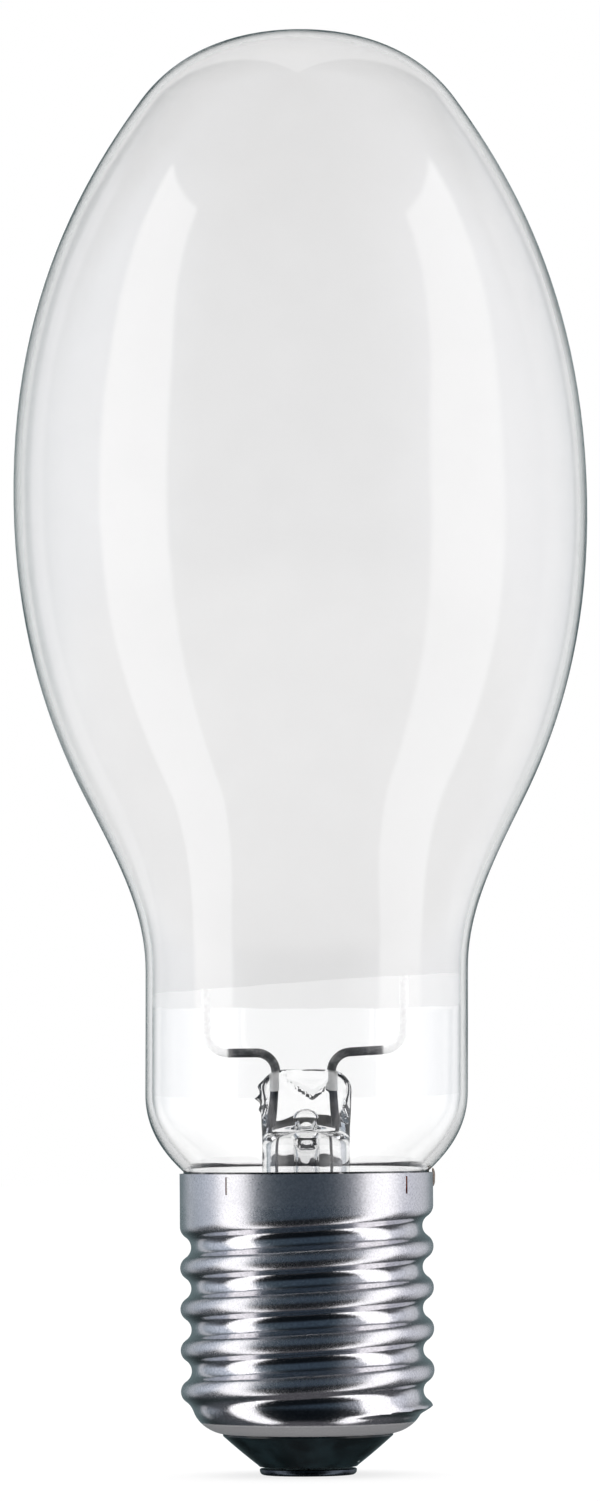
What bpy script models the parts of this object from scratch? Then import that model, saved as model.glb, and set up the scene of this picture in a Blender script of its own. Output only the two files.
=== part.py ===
"""Metal halide lamp: a white-coated ovoid bulb on a screw cap, with the stem, the wire frame and the
quartz arc tube that it holds.

Metres, +Z up along the lamp's axis. The origin is the middle of the centre contact's end face, and the
front, which shows the two lead wires side by side, looks along -Y.
"""

import math

import bmesh
import bpy
from mathutils import Vector, geometry

MM = 0.001
SEAT = 0.3 * MM  # between pieces that touch
WELD = 0.00001  # points closer than this are one point
CUT_MARGIN = 0.6 * MM  # how far a cutter stands past what it cuts
BEND_SHARE = 0.49  # of a straight stretch that the bend at one of its ends may take

# Screw cap. Heights in the cap are above the centre contact's end face.
CAP_HEIGHT = 46.5 * MM
COLLAR_RADIUS = 19.6 * MM
THREAD_DEPTH = 1.7 * MM
THREAD_PITCH = 6.35 * MM
CREST_HEIGHT = 28.75 * MM  # where one crest passes the +X side
SHEET = 0.3 * MM
GROOVE_FULL = 8.2 * MM  # below the collar's rim, where the groove still has its whole depth
GROOVE_END = 5.3 * MM  # below the collar's rim, where it has run out
COLLAR_PLAIN = 3.2 * MM  # smooth part of the collar above all of the groove
RIDGE_FULL = 1.6 * MM  # above the bell's edge, where the last ridge still has its whole height
RIDGE_END = 0.2 * MM  # above the bell's edge, where it has run out
BELL_HEIGHT = 8.1 * MM
BELL_INSET = 0.85 * MM  # from the thread's root in to the bell's edge
BELL_SLOPE = math.radians(46)  # from level
BELL_PULLS = (0.55, 0.5, 0.12)  # shares of the bell's height, width and height
LIP_HEIGHT = 6.35 * MM
LIP_RADIUS = 12.9 * MM
SLIT_WIDTH = 0.45 * MM
SLIT_LENGTH = 2.7 * MM
SLIT_BELOW_RIM = 0.8 * MM
SLIT_COUNT = 4
SLIT_TURN = math.radians(6.5)  # how far the four slits are turned from the diagonals
NOTCH_WIDTH = 1.1 * MM
NOTCH_DEPTH = 2.3 * MM
RIM_SOLDER_SIZE = (0.9 * MM, 2.4 * MM, 2.9 * MM)
RIM_SOLDER_ABOVE_LEAD = 0.95 * MM  # from the side lead's end up to the drop's middle

# Centre contact and the glass that insulates it.
CONTACT_RADIUS = 7.5 * MM
CONTACT_THICKNESS = 1.0 * MM
CONTACT_ROUND = 0.7 * MM
CONTACT_ROUND_STEPS = 3
CONTACT_DIMPLE_RADIUS = 2.2 * MM
CONTACT_DIMPLE_DEPTH = 0.55 * MM
SOLDER_PROFILE = ((1, 1), (0.9, 0.45), (0.5, 0.2), (0, 0.1))  # shares of its radius and height
CONE_OVERLAP = 0.3 * MM  # by which the cone's wide end covers the lip
INSULATOR_TOP = 9.6 * MM
INSULATOR_HOLE = 1.5 * MM

# Outer bulb, from the collar's rim upwards.
SHOULDER_HEIGHT = 12.4 * MM
NECK_LENGTH = 19.0 * MM
BELLY_HEIGHT = 72.6 * MM
CROWN_HEIGHT = 73.4 * MM
NECK_RADIUS = 24.95 * MM
BULB_RADIUS = 44.5 * MM
BULB_WALL = 1.0 * MM
LAND_HEIGHT = 0.5 * MM  # glass that stands in the collar's mouth
TAPER_SLOPE = math.radians(41)  # of the glass below the land, from upright
SLEEVE_DEPTH = 19.5 * MM  # how far the neck's end reaches down into the cap
COATING = 0.25 * MM
COATING_EDGE_BACK = 25.7 * MM  # above the collar's rim
COATING_EDGE_FRONT = 29.2 * MM
COATING_EDGE_TILT = 1.5 * MM  # rise at the right and drop at the left of the front edge
COATING_EDGE_FADE = 0.35  # share of the neck's radius over which the back edge climbs to the front one

# The bulb's curve, as shares of the heights and radii above.
CROWN_KNEE = (0.540, 0.850)
CROWN_KNEE_SLOPE = math.radians(54)
CROWN_PULLS = (0.293, 0.156, 0.245, 0.395)
BELLY_KNEE = (0.455, 0.362)
BELLY_KNEE_SLOPE = math.radians(63)
BELLY_PULLS = (0.275, 0.164, 0.149, 0.124)
SHOULDER_SLOPE = math.radians(43)
SHOULDER_PULLS = (0.43, 0.36)

# Stem, with heights above the collar's rim.
STEM_RADIUS = 6.8 * MM
STEM_WALL = 1.2 * MM
PRESS_TOP = 16.0 * MM
PRESS_START = 6.0 * MM
PRESS_FULL = 11.0 * MM
PRESS_WIDTH = 14.2 * MM
PRESS_THICKNESS = 5.8 * MM
PRESS_CORNER = 3.4 * MM
PRESS_CORNER_TURNS = (35, 65, 90)  # degrees
STEM_CAVITY_TOP = 8.6 * MM
STEM_CAVITY_ROUND = 2.5 * MM
STEM_CAVITY_CROWN = ((0.75, 0.3), (0.4, 0))  # shares of the inner radius and of the rounding
FLARE_HEIGHT = 9.5 * MM
FLARE_EDGE = 1.2 * MM
FLARE_PULLS = (0.42, 0.32, 0.6)  # shares of the height outside and inside, and of the width
FLARE_STEPS = 4
EXHAUST_RADIUS = 2.0 * MM
EXHAUST_WALL = 0.7 * MM
EXHAUST_LENGTH = 34.5 * MM
EXHAUST_TIP = 4.0 * MM
EXHAUST_TIP_OUTSIDE = ((1, 0.75), (0.7, 0.25))  # shares of its radius and of the tip's height
EXHAUST_TIP_INSIDE = ((0, 0.55), (0.7, 0.7))
BLOW_HOLE_RADIUS = 0.9 * MM
BLOW_HOLE_BELOW = 4.5 * MM  # under the top of the stem's cavity

# Wires.
LEAD_SPACING = 9.2 * MM
ROD_RADIUS = 0.7 * MM
ROD_SEAT_DEPTH = 3.5 * MM  # of a rod's foot in the press
SEAL_WIRE_RADIUS = 0.6 * MM
OUTER_LEAD_RADIUS = 0.25 * MM
LEAD_SLACK = 0.1 * MM  # more room for the side lead past the thread's root
RIM_LEAD_DROP = 2.2 * MM  # how far the side lead dips under the seal
RIM_LEAD_BEND = 2.0 * MM
CENTRE_LEAD_RISE = 2.5 * MM  # above the insulator, where the centre lead reaches the axis
CENTRE_LEAD_BEND = 6.0 * MM
ROD_SPACING = 30.6 * MM
ROD_RISE = 2.6 * MM  # from the press's top to the rods' level stretch
ROD_BEND_RADIUS = 3.4 * MM
RAIL_BELOW_TOP = 18.9 * MM
RAIL_ABOVE_LINK = 4.2 * MM
RAIL_OVERHANG = 11.0 * MM
SPRING_THICKNESS = 0.4 * MM
SPRING_WIDTH = 4.0 * MM
SPRING_START = 3.0 * MM  # from the axis
SPRING_BEND = 1.5 * MM
SPRING_TOUCH_LOW = 2.4 * MM  # above the rail
SPRING_TOUCH_HIGH = 7.0 * MM

# Arc tube, about its own middle, which hangs from the rail's height.
ARC_TUBE_RADIUS = 8.5 * MM
ARC_TUBE_WALL = 1.2 * MM
ARC_TUBE_CORNER = 1.0 * MM
CHAMBER_DOME = 5.8 * MM
ARC_GAP = 32.0 * MM
CHAMBER_LENGTH = 54.0 * MM
PINCH_LENGTH = 12.0 * MM
PINCH_RUN = 4.0 * MM  # over which the round tube turns flat
PINCH_THICKNESS = 3.4 * MM
ELECTRODE_RADIUS = 0.45 * MM
COIL_WIRE_RADIUS = 0.3 * MM
COIL_TURNS = 3
COIL_PITCH = 0.95 * MM
COIL_FROM_TIP = 1.2 * MM
FOIL_FROM_CHAMBER = 3.0 * MM
FOIL_LENGTH = 8.4 * MM
FOIL_WIDTH = 3.0 * MM
FOIL_THICKNESS = 0.3 * MM
CLAMP_SHEET = 0.5 * MM
CLAMP_HEIGHT = 6.0 * MM
LINK_DROP = 7.0 * MM  # from the arc tube's end to the level part of its link
LINK_BEND_RADIUS = 2.0 * MM
ROD_PAST_CLAMP = 4.0 * MM
GETTER_SIZE = (0.4 * MM, 3.0 * MM, 8.0 * MM)
GETTER_EDGE = 0.12 * MM
GETTER_BELOW_LINK = 8.0 * MM

# How finely round forms are drawn. The counts are the points of the crown's tip, its side, the belly,
# the waist and the shoulder. The glass's inside and the coating share theirs, so that they nest.
OUTSIDE_COUNTS = (5, 6, 4, 4, 5)
INSIDE_COUNTS = (3, 4, 3, 3, 3)
BULB_STEPS = 32
SHELL_STEPS = 28
THREAD_ROWS = 6
CAP_STEPS = 24
STEM_STEPS = 16
ARC_TUBE_STEPS = 16
TUBE_STEPS = 12
COIL_STEPS = 6
BORE_STEPS = 6
BEND_STEPS = 3
WIRE_ROUNDING = 2

# Worked out from the sizes above.
ROOT_RADIUS = COLLAR_RADIUS - THREAD_DEPTH
BELL_RADIUS = ROOT_RADIUS - BELL_INSET
COLLAR_INSIDE = COLLAR_RADIUS - SHEET
LAND_RADIUS = COLLAR_INSIDE - SEAT
LEAD_CHANNEL = 2 * OUTER_LEAD_RADIUS + 2 * SEAT + LEAD_SLACK
SLEEVE_RADIUS = ROOT_RADIUS - SHEET - LEAD_CHANNEL
SLEEVE_END = CAP_HEIGHT - SLEEVE_DEPTH
TAPER_TOP = CAP_HEIGHT - LAND_HEIGHT
TAPER_FOOT = TAPER_TOP - (LAND_RADIUS - SLEEVE_RADIUS) / math.tan(TAPER_SLOPE)
NECK_FOOT = CAP_HEIGHT + SHOULDER_HEIGHT
NECK_TOP = NECK_FOOT + NECK_LENGTH
WIDEST = NECK_TOP + BELLY_HEIGHT
BULB_TOP = WIDEST + CROWN_HEIGHT
CONE_FOOT = CONTACT_THICKNESS + SEAT
CONE_TOP = LIP_HEIGHT - SEAT
LEAD_X = LEAD_SPACING / 2
ROD_X = ROD_SPACING / 2
SEAL_WIRE_FOOT = CAP_HEIGHT + PRESS_START + SEAT
SEAL_WIRE_TOP = CAP_HEIGHT + PRESS_TOP - ROD_SEAT_DEPTH
OUTER_LEAD_TOP = SEAL_WIRE_FOOT - SEAT
LEAD_OUT_HEIGHT = CAP_HEIGHT - NOTCH_DEPTH + OUTER_LEAD_RADIUS + SEAT
EXHAUST_TOP = CAP_HEIGHT + STEM_CAVITY_TOP - SEAT
EXHAUST_FOOT = EXHAUST_TOP - EXHAUST_LENGTH
CHAMBER_RADIUS = ARC_TUBE_RADIUS - ARC_TUBE_WALL
CHAMBER_END = CHAMBER_LENGTH / 2
PINCH_START = CHAMBER_END + SEAT
FOIL_START = PINCH_START + FOIL_FROM_CHAMBER
FOIL_END = FOIL_START + FOIL_LENGTH
ARC_TUBE_END = PINCH_START + PINCH_RUN + PINCH_LENGTH
CLAMP_LEVEL = ARC_TUBE_END - PINCH_LENGTH / 2
LINK_LEVEL = ARC_TUBE_END + LINK_DROP
RAIL_HEIGHT = BULB_TOP - RAIL_BELOW_TOP
ARC_MIDDLE = RAIL_HEIGHT - RAIL_ABOVE_LINK - LINK_LEVEL
BORE_RADIUS = ELECTRODE_RADIUS + SEAT


def clear_scene():
    for old in list(bpy.data.objects):
        bpy.data.objects.remove(old)


def new_collection(name):
    collection = bpy.data.collections.new(name)
    bpy.context.scene.collection.children.link(collection)
    return collection


def principled(name, colour, roughness, metallic=0.0, transmission=0.0):
    material = bpy.data.materials.new(name)
    material.use_nodes = True
    shader = material.node_tree.nodes["Principled BSDF"]
    shader.inputs["Base Color"].default_value = (*colour, 1.0)
    shader.inputs["Roughness"].default_value = roughness
    shader.inputs["Metallic"].default_value = metallic
    shader.inputs["Transmission Weight"].default_value = transmission
    material.diffuse_color = (*colour, 1.0)
    return material


def clear_glass():
    return principled("clear_glass", (0.95, 0.96, 0.96), 0.03, transmission=1.0)


def quartz():
    return principled("quartz", (0.93, 0.94, 0.95), 0.04, transmission=1.0)


def white_powder():
    return principled("white_powder", (0.86, 0.86, 0.86), 0.9)


def nickel_plate():
    return principled("nickel_plate", (0.63, 0.65, 0.70), 0.22, metallic=1.0)


def black_glass():
    return principled("black_glass", (0.012, 0.016, 0.018), 0.18)


def dark_contact():
    return principled("dark_contact", (0.16, 0.17, 0.19), 0.32, metallic=1.0)


def soft_solder():
    return principled("soft_solder", (0.42, 0.36, 0.31), 0.4, metallic=1.0)


def grey_wire():
    return principled("grey_wire", (0.27, 0.27, 0.27), 0.38, metallic=1.0)


def dark_metal():
    return principled("dark_metal", (0.12, 0.12, 0.13), 0.45, metallic=1.0)


def smooth_step(share):
    share = min(max(share, 0.0), 1.0)
    return share * share * (3 - 2 * share)


def curve_between(start, start_pull, end_pull, end, count):
    """Points (radius, height) of one smooth stretch, without its last."""
    knots = [Vector((*point, 0)) for point in (start, start_pull, end_pull, end)]
    return [(p.x, p.y) for p in geometry.interpolate_bezier(*knots, count + 1)][:-1]


def inset(outline, depth):
    """The same outline moved inwards, square to itself."""
    moved = []
    for index, (radius, height) in enumerate(outline):
        before = Vector(outline[max(index - 1, 0)])
        after = Vector(outline[min(index + 1, len(outline) - 1)])
        along = (after - before).normalized()
        if radius == 0:
            along = Vector((1, 0))
        moved.append((max(radius + along.y * depth, 0), height - along.x * depth))
    return moved


def above(outline, height):
    """The upper part of an outline that runs downwards, cut at a height."""
    kept = [point for point in outline if point[1] > height]
    (upper_radius, upper), (lower_radius, lower) = outline[len(kept) - 1], outline[len(kept)]
    share = (upper - height) / (upper - lower)
    return kept + [(upper_radius + (lower_radius - upper_radius) * share, height)]


def point_at(outline, height):
    return Vector(above(outline, height)[-1])


def bent_path(corners, bend_radius):
    """Points of a wire that runs straight between corners and turns round each in an arc."""
    corners = [Vector(corner) for corner in corners]
    path = [corners[0]]
    for before, corner, after in zip(corners, corners[1:], corners[2:]):
        back = before - corner
        ahead = after - corner
        half = back.angle(ahead) / 2
        most = min(back.length, ahead.length) * BEND_SHARE
        reach = min(bend_radius / math.tan(half), most)
        radius = reach * math.tan(half)
        centre = corner + (back.normalized() + ahead.normalized()).normalized() * radius / math.sin(half)
        first = (corner + back.normalized() * reach - centre).normalized()
        last = (corner + ahead.normalized() * reach - centre).normalized()
        for step in range(BEND_STEPS + 1):
            path.append(centre + first.slerp(last, step / BEND_STEPS) * radius)
    return path + [corners[-1]]


def lamp_plane(points):
    """Points (x, z) in the plane of the wire frame."""
    return [(x, 0.0, z) for x, z in points]


def add_mesh(name, mesh, finish, collection):
    thing = bpy.data.objects.new(name, mesh)
    collection.objects.link(thing)
    if finish:
        mesh.materials.clear()
        mesh.materials.append(finish)
    return thing


def turned(name, outline, steps, finish, collection, closed=False):
    """A turned piece. Its outline runs down the outer side, and back up the inner one."""
    mesh = bpy.data.meshes.new(name)
    edges = [(index, index + 1) for index in range(len(outline) - 1)]
    if closed:
        edges.append((len(outline) - 1, 0))
    mesh.from_pydata([(radius, 0, height) for radius, height in outline], edges, [])
    thing = add_mesh(name, mesh, finish, collection)
    screw = thing.modifiers.new("turn", "SCREW")
    screw.steps = screw.render_steps = steps
    screw.use_merge_vertices = True
    screw.merge_threshold = WELD
    screw.use_smooth_shade = True
    return thing


def settle(thing):
    """Puts the evaluated mesh in place of the object's own, so that its points can be moved."""
    graph = bpy.context.evaluated_depsgraph_get()
    graph.update()
    mesh = bpy.data.meshes.new_from_object(thing.evaluated_get(graph))
    thing.modifiers.clear()
    thing.data = mesh
    return mesh


def wire(name, points, radius, finish, collection):
    """A round wire through points, with its two ends closed."""
    curve = bpy.data.curves.new(name, "CURVE")
    curve.dimensions = "3D"
    curve.bevel_depth = radius
    curve.bevel_resolution = WIRE_ROUNDING
    curve.use_fill_caps = True
    spline = curve.splines.new("POLY")
    spline.points.add(len(points) - 1)
    for spot, point in zip(spline.points, points):
        spot.co = (*point, 1)
    curve.materials.append(finish)
    thing = bpy.data.objects.new(name, curve)
    collection.objects.link(thing)
    return thing


def file_away(thing, name, collection):
    """Names a new primitive and moves it to its collection."""
    thing.name = thing.data.name = name
    for owner in list(thing.users_collection):
        owner.objects.unlink(thing)
    collection.objects.link(thing)


def box(name, low, high, finish, collection):
    low = Vector(low)
    high = Vector(high)
    bpy.ops.mesh.primitive_cube_add(size=1, location=(low + high) / 2, scale=high - low)
    thing = bpy.context.object
    bpy.ops.object.transform_apply(location=False, rotation=False, scale=True)
    file_away(thing, name, collection)
    if finish:
        thing.data.materials.append(finish)
    return thing


def as_cutter(thing):
    thing.hide_render = True
    thing.display_type = "WIRE"
    return thing


def cut(thing, cutter):
    as_cutter(cutter)
    boolean = thing.modifiers.new(cutter.name, "BOOLEAN")
    boolean.operation = "DIFFERENCE"
    boolean.solver = "EXACT"
    boolean.object = cutter


def round_cutter(name, radius, start, end, collection, steps=TUBE_STEPS):
    """A cylinder from one point to another."""
    start = Vector(start)
    end = Vector(end)
    bpy.ops.mesh.primitive_cylinder_add(
        vertices=steps, radius=radius, depth=(end - start).length, location=(start + end) / 2
    )
    thing = bpy.context.object
    thing.rotation_euler = (end - start).to_track_quat("Z", "Y").to_euler()
    file_away(thing, name, collection)
    return as_cutter(thing)


def bulb_outline(counts=OUTSIDE_COUNTS):
    """The outer bulb's outside, from the crown's tip down to where it enters the collar."""
    crown_count, side_count, belly_count, waist_count, shoulder_count = counts
    knee = (CROWN_KNEE[0] * BULB_RADIUS, WIDEST + CROWN_KNEE[1] * CROWN_HEIGHT)
    out = Vector((math.cos(CROWN_KNEE_SLOPE), -math.sin(CROWN_KNEE_SLOPE)))
    tip_pull, knee_in, knee_out, side_pull = CROWN_PULLS
    crown = curve_between(
        (0, BULB_TOP),
        (tip_pull * BULB_RADIUS, BULB_TOP),
        Vector(knee) - out * knee_in * BULB_RADIUS,
        knee,
        crown_count,
    )
    crown += curve_between(
        knee,
        Vector(knee) + out * knee_out * CROWN_HEIGHT,
        (BULB_RADIUS, WIDEST + side_pull * CROWN_HEIGHT),
        (BULB_RADIUS, WIDEST),
        side_count,
    )
    waist = (
        NECK_RADIUS + BELLY_KNEE[0] * (BULB_RADIUS - NECK_RADIUS),
        NECK_TOP + BELLY_KNEE[1] * BELLY_HEIGHT,
    )
    down = Vector((-math.cos(BELLY_KNEE_SLOPE), -math.sin(BELLY_KNEE_SLOPE)))
    side_down, waist_in, waist_out, neck_pull = BELLY_PULLS
    belly = curve_between(
        (BULB_RADIUS, WIDEST),
        (BULB_RADIUS, WIDEST - side_down * BELLY_HEIGHT),
        Vector(waist) - down * waist_in * BELLY_HEIGHT,
        waist,
        belly_count,
    )
    belly += curve_between(
        waist,
        Vector(waist) + down * waist_out * BELLY_HEIGHT,
        (NECK_RADIUS, NECK_TOP + neck_pull * BELLY_HEIGHT),
        (NECK_RADIUS, NECK_TOP),
        waist_count,
    )
    mouth = (LAND_RADIUS, CAP_HEIGHT + SEAT)
    inward = Vector((-math.cos(SHOULDER_SLOPE), -math.sin(SHOULDER_SLOPE)))
    neck_down, mouth_pull = SHOULDER_PULLS
    shoulder = curve_between(
        (NECK_RADIUS, NECK_FOOT),
        (NECK_RADIUS, NECK_FOOT - neck_down * SHOULDER_HEIGHT),
        Vector(mouth) - inward * mouth_pull * SHOULDER_HEIGHT,
        mouth,
        shoulder_count,
    )
    return crown + belly + [(NECK_RADIUS, NECK_TOP)] + shoulder + [mouth]


def outer_bulb(parts):
    """Blown glass, open at the neck's end, where it is sealed to the stem's flare."""
    outside = bulb_outline()
    in_cap = [(LAND_RADIUS, TAPER_TOP), (SLEEVE_RADIUS, TAPER_FOOT), (SLEEVE_RADIUS, SLEEVE_END)]
    inside_cap = [
        (SLEEVE_RADIUS - BULB_WALL, SLEEVE_END),
        (SLEEVE_RADIUS - BULB_WALL, TAPER_FOOT),
    ]
    inside = inset(bulb_outline(INSIDE_COUNTS), BULB_WALL)
    outline = outside + in_cap + inside_cap + inside[::-1]
    return turned("outer_bulb", outline, BULB_STEPS, clear_glass(), parts)


def coating_edge(angle):
    """Height of the coating's lower edge, which is a little lower round the back."""
    front = smooth_step(-math.sin(angle) / COATING_EDGE_FADE)
    rise = COATING_EDGE_FRONT - COATING_EDGE_BACK + COATING_EDGE_TILT * math.cos(angle)
    return CAP_HEIGHT + COATING_EDGE_BACK + front * rise


def diffuse_coating(parts):
    """White powder on the inside of the glass, down to the upper part of the neck."""
    low = CAP_HEIGHT + COATING_EDGE_BACK
    gap = BULB_WALL + SEAT
    outside = above(inset(bulb_outline(INSIDE_COUNTS), gap), low)
    inside = above(inset(bulb_outline(INSIDE_COUNTS), gap + COATING), low)
    coating = turned("diffuse_coating", outside + inside[::-1], BULB_STEPS, white_powder(), parts)
    for vertex in settle(coating).vertices:
        if abs(vertex.co.z - low) < WELD:
            vertex.co.z = coating_edge(math.atan2(vertex.co.y, vertex.co.x))
    return coating


def groove_depth(from_crest):
    """Depth of the rolled thread at a distance from its crest: two arcs that meet in a slope."""
    quarter = THREAD_PITCH / 4
    half_depth = THREAD_DEPTH / 2
    arc = (quarter**2 + half_depth**2) / (2 * half_depth)
    if from_crest <= quarter:
        return arc - math.sqrt(arc**2 - from_crest**2)
    return THREAD_DEPTH - arc + math.sqrt(arc**2 - (2 * quarter - from_crest) ** 2)


def shell_radius(height, angle):
    """Outside radius of the rolled sheet, with the thread run out into the collar and the bell."""
    crest = CREST_HEIGHT + THREAD_PITCH * angle / math.tau
    turns = (height - crest) / THREAD_PITCH
    from_crest = abs(turns - round(turns)) * THREAD_PITCH
    groove = crest + (math.floor(turns) + 0.5) * THREAD_PITCH
    ridge = crest + round(turns) * THREAD_PITCH
    groove_run = GROOVE_FULL - GROOVE_END
    groove_share = smooth_step((CAP_HEIGHT - GROOVE_END - groove) / groove_run)
    ridge_run = RIDGE_FULL - RIDGE_END
    ridge_share = smooth_step((ridge - BELL_HEIGHT - RIDGE_END) / ridge_run)
    threaded = COLLAR_RADIUS - groove_depth(from_crest) * groove_share
    threaded = ROOT_RADIUS + (threaded - ROOT_RADIUS) * ridge_share
    bell = BELL_RADIUS + (height - BELL_HEIGHT) / math.tan(BELL_SLOPE)
    return min(threaded, bell)


def bell_curve():
    """The bell's outside, from the foot of its cone to the lip's edge."""
    down, wide, up = BELL_PULLS
    drop = BELL_HEIGHT - LIP_HEIGHT
    lip = (LIP_RADIUS, LIP_HEIGHT)
    cone_pull = (BELL_RADIUS - drop * down / math.tan(BELL_SLOPE), BELL_HEIGHT - drop * down)
    lip_pull = (LIP_RADIUS + (BELL_RADIUS - LIP_RADIUS) * wide, LIP_HEIGHT + drop * up)
    return curve_between((BELL_RADIUS, BELL_HEIGHT), cone_pull, lip_pull, lip, BEND_STEPS) + [lip]


def thread_band(parts):
    """A band wound up the axis, one row of points along each line of the thread."""
    below = math.ceil((CREST_HEIGHT - BELL_HEIGHT) / THREAD_PITCH) + 1
    above_crest = math.ceil((CAP_HEIGHT - CREST_HEIGHT) / THREAD_PITCH) + 1
    start = CREST_HEIGHT - below * THREAD_PITCH
    rows = [start + THREAD_PITCH * row / THREAD_ROWS for row in range(THREAD_ROWS + 1)]
    mesh = bpy.data.meshes.new("screw_shell")
    edges = [(row, row + 1) for row in range(THREAD_ROWS)]
    mesh.from_pydata([(COLLAR_RADIUS, 0, height) for height in rows], edges, [])
    band = add_mesh("screw_shell", mesh, nickel_plate(), parts)
    screw = band.modifiers.new("wind", "SCREW")
    screw.steps = screw.render_steps = SHELL_STEPS
    screw.iterations = below + above_crest
    screw.screw_offset = THREAD_PITCH
    settle(band)
    return band


def pull_rim(shape, level, rings):
    """Extends the open edge at a level through rings of (radius, height)."""
    edge = [e for e in shape.edges if e.is_boundary and all(abs(v.co.z - level) < WELD for v in e.verts)]
    for radius, height in rings:
        grown = bmesh.ops.extrude_edge_only(shape, edges=edge)["geom"]
        edge = [item for item in grown if isinstance(item, bmesh.types.BMEdge)]
        for vertex in {v for e in edge for v in e.verts}:
            flat = vertex.co.xy.normalized() * radius
            vertex.co = (flat.x, flat.y, height)
        edge = [e for e in edge if e.is_boundary]


def shell_cutters(cutters):
    """Four narrow slits in the collar, and the notch that lets the side lead out over the rim."""
    near = COLLAR_INSIDE - CUT_MARGIN
    far = COLLAR_RADIUS + CUT_MARGIN
    slit_top = CAP_HEIGHT - SLIT_BELOW_RIM
    pieces = []
    for number in range(SLIT_COUNT):
        low = (near, -SLIT_WIDTH / 2, slit_top - SLIT_LENGTH)
        slit = box(f"slit_{number + 1}", low, (far, SLIT_WIDTH / 2, slit_top), None, cutters)
        turn = SLIT_TURN + (number + 0.5) * math.tau / SLIT_COUNT
        centre = slit.location.copy()
        slit.location = (centre.x * math.cos(turn), centre.x * math.sin(turn), centre.z)
        slit.rotation_euler.z = turn
        pieces.append(slit)
    low = (near, -NOTCH_WIDTH / 2, CAP_HEIGHT - NOTCH_DEPTH)
    high = (far, NOTCH_WIDTH / 2, CAP_HEIGHT + CUT_MARGIN)
    pieces.append(box("lead_notch", low, high, None, cutters))
    return pieces


def screw_shell(parts, cutters):
    """The cap's nickel-plated sheet: a plain collar, a rolled thread and a bell turned in to a lip."""
    band = thread_band(parts)
    collar_foot = CAP_HEIGHT - COLLAR_PLAIN
    shape = bmesh.new()
    shape.from_mesh(band.data)
    bmesh.ops.remove_doubles(shape, verts=shape.verts, dist=WELD)
    for level, up in ((collar_foot, 1), (BELL_HEIGHT, -1)):
        everything = shape.verts[:] + shape.edges[:] + shape.faces[:]
        bmesh.ops.bisect_plane(
            shape, geom=everything, plane_co=(0, 0, level), plane_no=(0, 0, up), clear_outer=True
        )
    bmesh.ops.remove_doubles(shape, verts=shape.verts, dist=WELD)
    for vertex in shape.verts:
        angle = math.atan2(vertex.co.y, vertex.co.x)
        vertex.co.xy = vertex.co.xy.normalized() * shell_radius(vertex.co.z, angle)
    pull_rim(shape, collar_foot, [(COLLAR_RADIUS, CAP_HEIGHT)])
    pull_rim(shape, BELL_HEIGHT, bell_curve()[1:])
    bmesh.ops.recalc_face_normals(shape, faces=shape.faces)
    outward = sum(face.normal.xy.dot(face.calc_center_median().xy) for face in shape.faces)
    if outward < 0:
        bmesh.ops.reverse_faces(shape, faces=shape.faces)
    for face in shape.faces:
        face.smooth = True
    shape.to_mesh(band.data)
    shape.free()
    wall = band.modifiers.new("sheet", "SOLIDIFY")
    wall.thickness = SHEET
    wall.offset = -1
    for cutter in shell_cutters(cutters):
        cut(band, cutter)
    return band


def contact_insulator(parts):
    """Black glass: a cone outside the cap, a waist in the lip and a thick disc inside."""
    seat = inset(bell_curve(), SHEET + SEAT)
    waist = LIP_RADIUS - SEAT
    outline = [(INSULATOR_HOLE, INSULATOR_TOP), (seat[0][0], INSULATOR_TOP)]
    outline += seat[:-1]
    outline += [
        (waist, seat[-1][1]),
        (waist, CONE_TOP),
        (LIP_RADIUS + CONE_OVERLAP, CONE_TOP),
        (CONTACT_RADIUS, CONE_FOOT),
        (INSULATOR_HOLE, CONE_FOOT),
    ]
    return turned("contact_insulator", outline, CAP_STEPS, black_glass(), parts, closed=True)


def centre_contact(parts):
    """Round metal plate with a rounded edge, a dimple for the solder and a hole for the lead."""
    hole = OUTER_LEAD_RADIUS + SEAT
    outline = [(hole, CONTACT_THICKNESS), (CONTACT_RADIUS, CONTACT_THICKNESS)]
    for step in range(CONTACT_ROUND_STEPS + 1):
        turn = math.pi / 2 * step / CONTACT_ROUND_STEPS
        edge = CONTACT_RADIUS - CONTACT_ROUND * (1 - math.cos(turn))
        outline.append((edge, CONTACT_ROUND * (1 - math.sin(turn))))
    outline += [
        (CONTACT_DIMPLE_RADIUS, 0),
        (CONTACT_DIMPLE_RADIUS, CONTACT_DIMPLE_DEPTH),
        (hole, CONTACT_DIMPLE_DEPTH),
    ]
    return turned("centre_contact", outline, CAP_STEPS, dark_contact(), parts, closed=True)


def contact_solder(parts):
    """A low drop that fills the contact's dimple and holds the centre lead."""
    radius = CONTACT_DIMPLE_RADIUS - SEAT
    top = CONTACT_DIMPLE_DEPTH - SEAT
    outline = [(0, top)] + [(radius * out, top * up) for out, up in SOLDER_PROFILE]
    return turned("contact_solder", outline, TUBE_STEPS, soft_solder(), parts)


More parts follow.
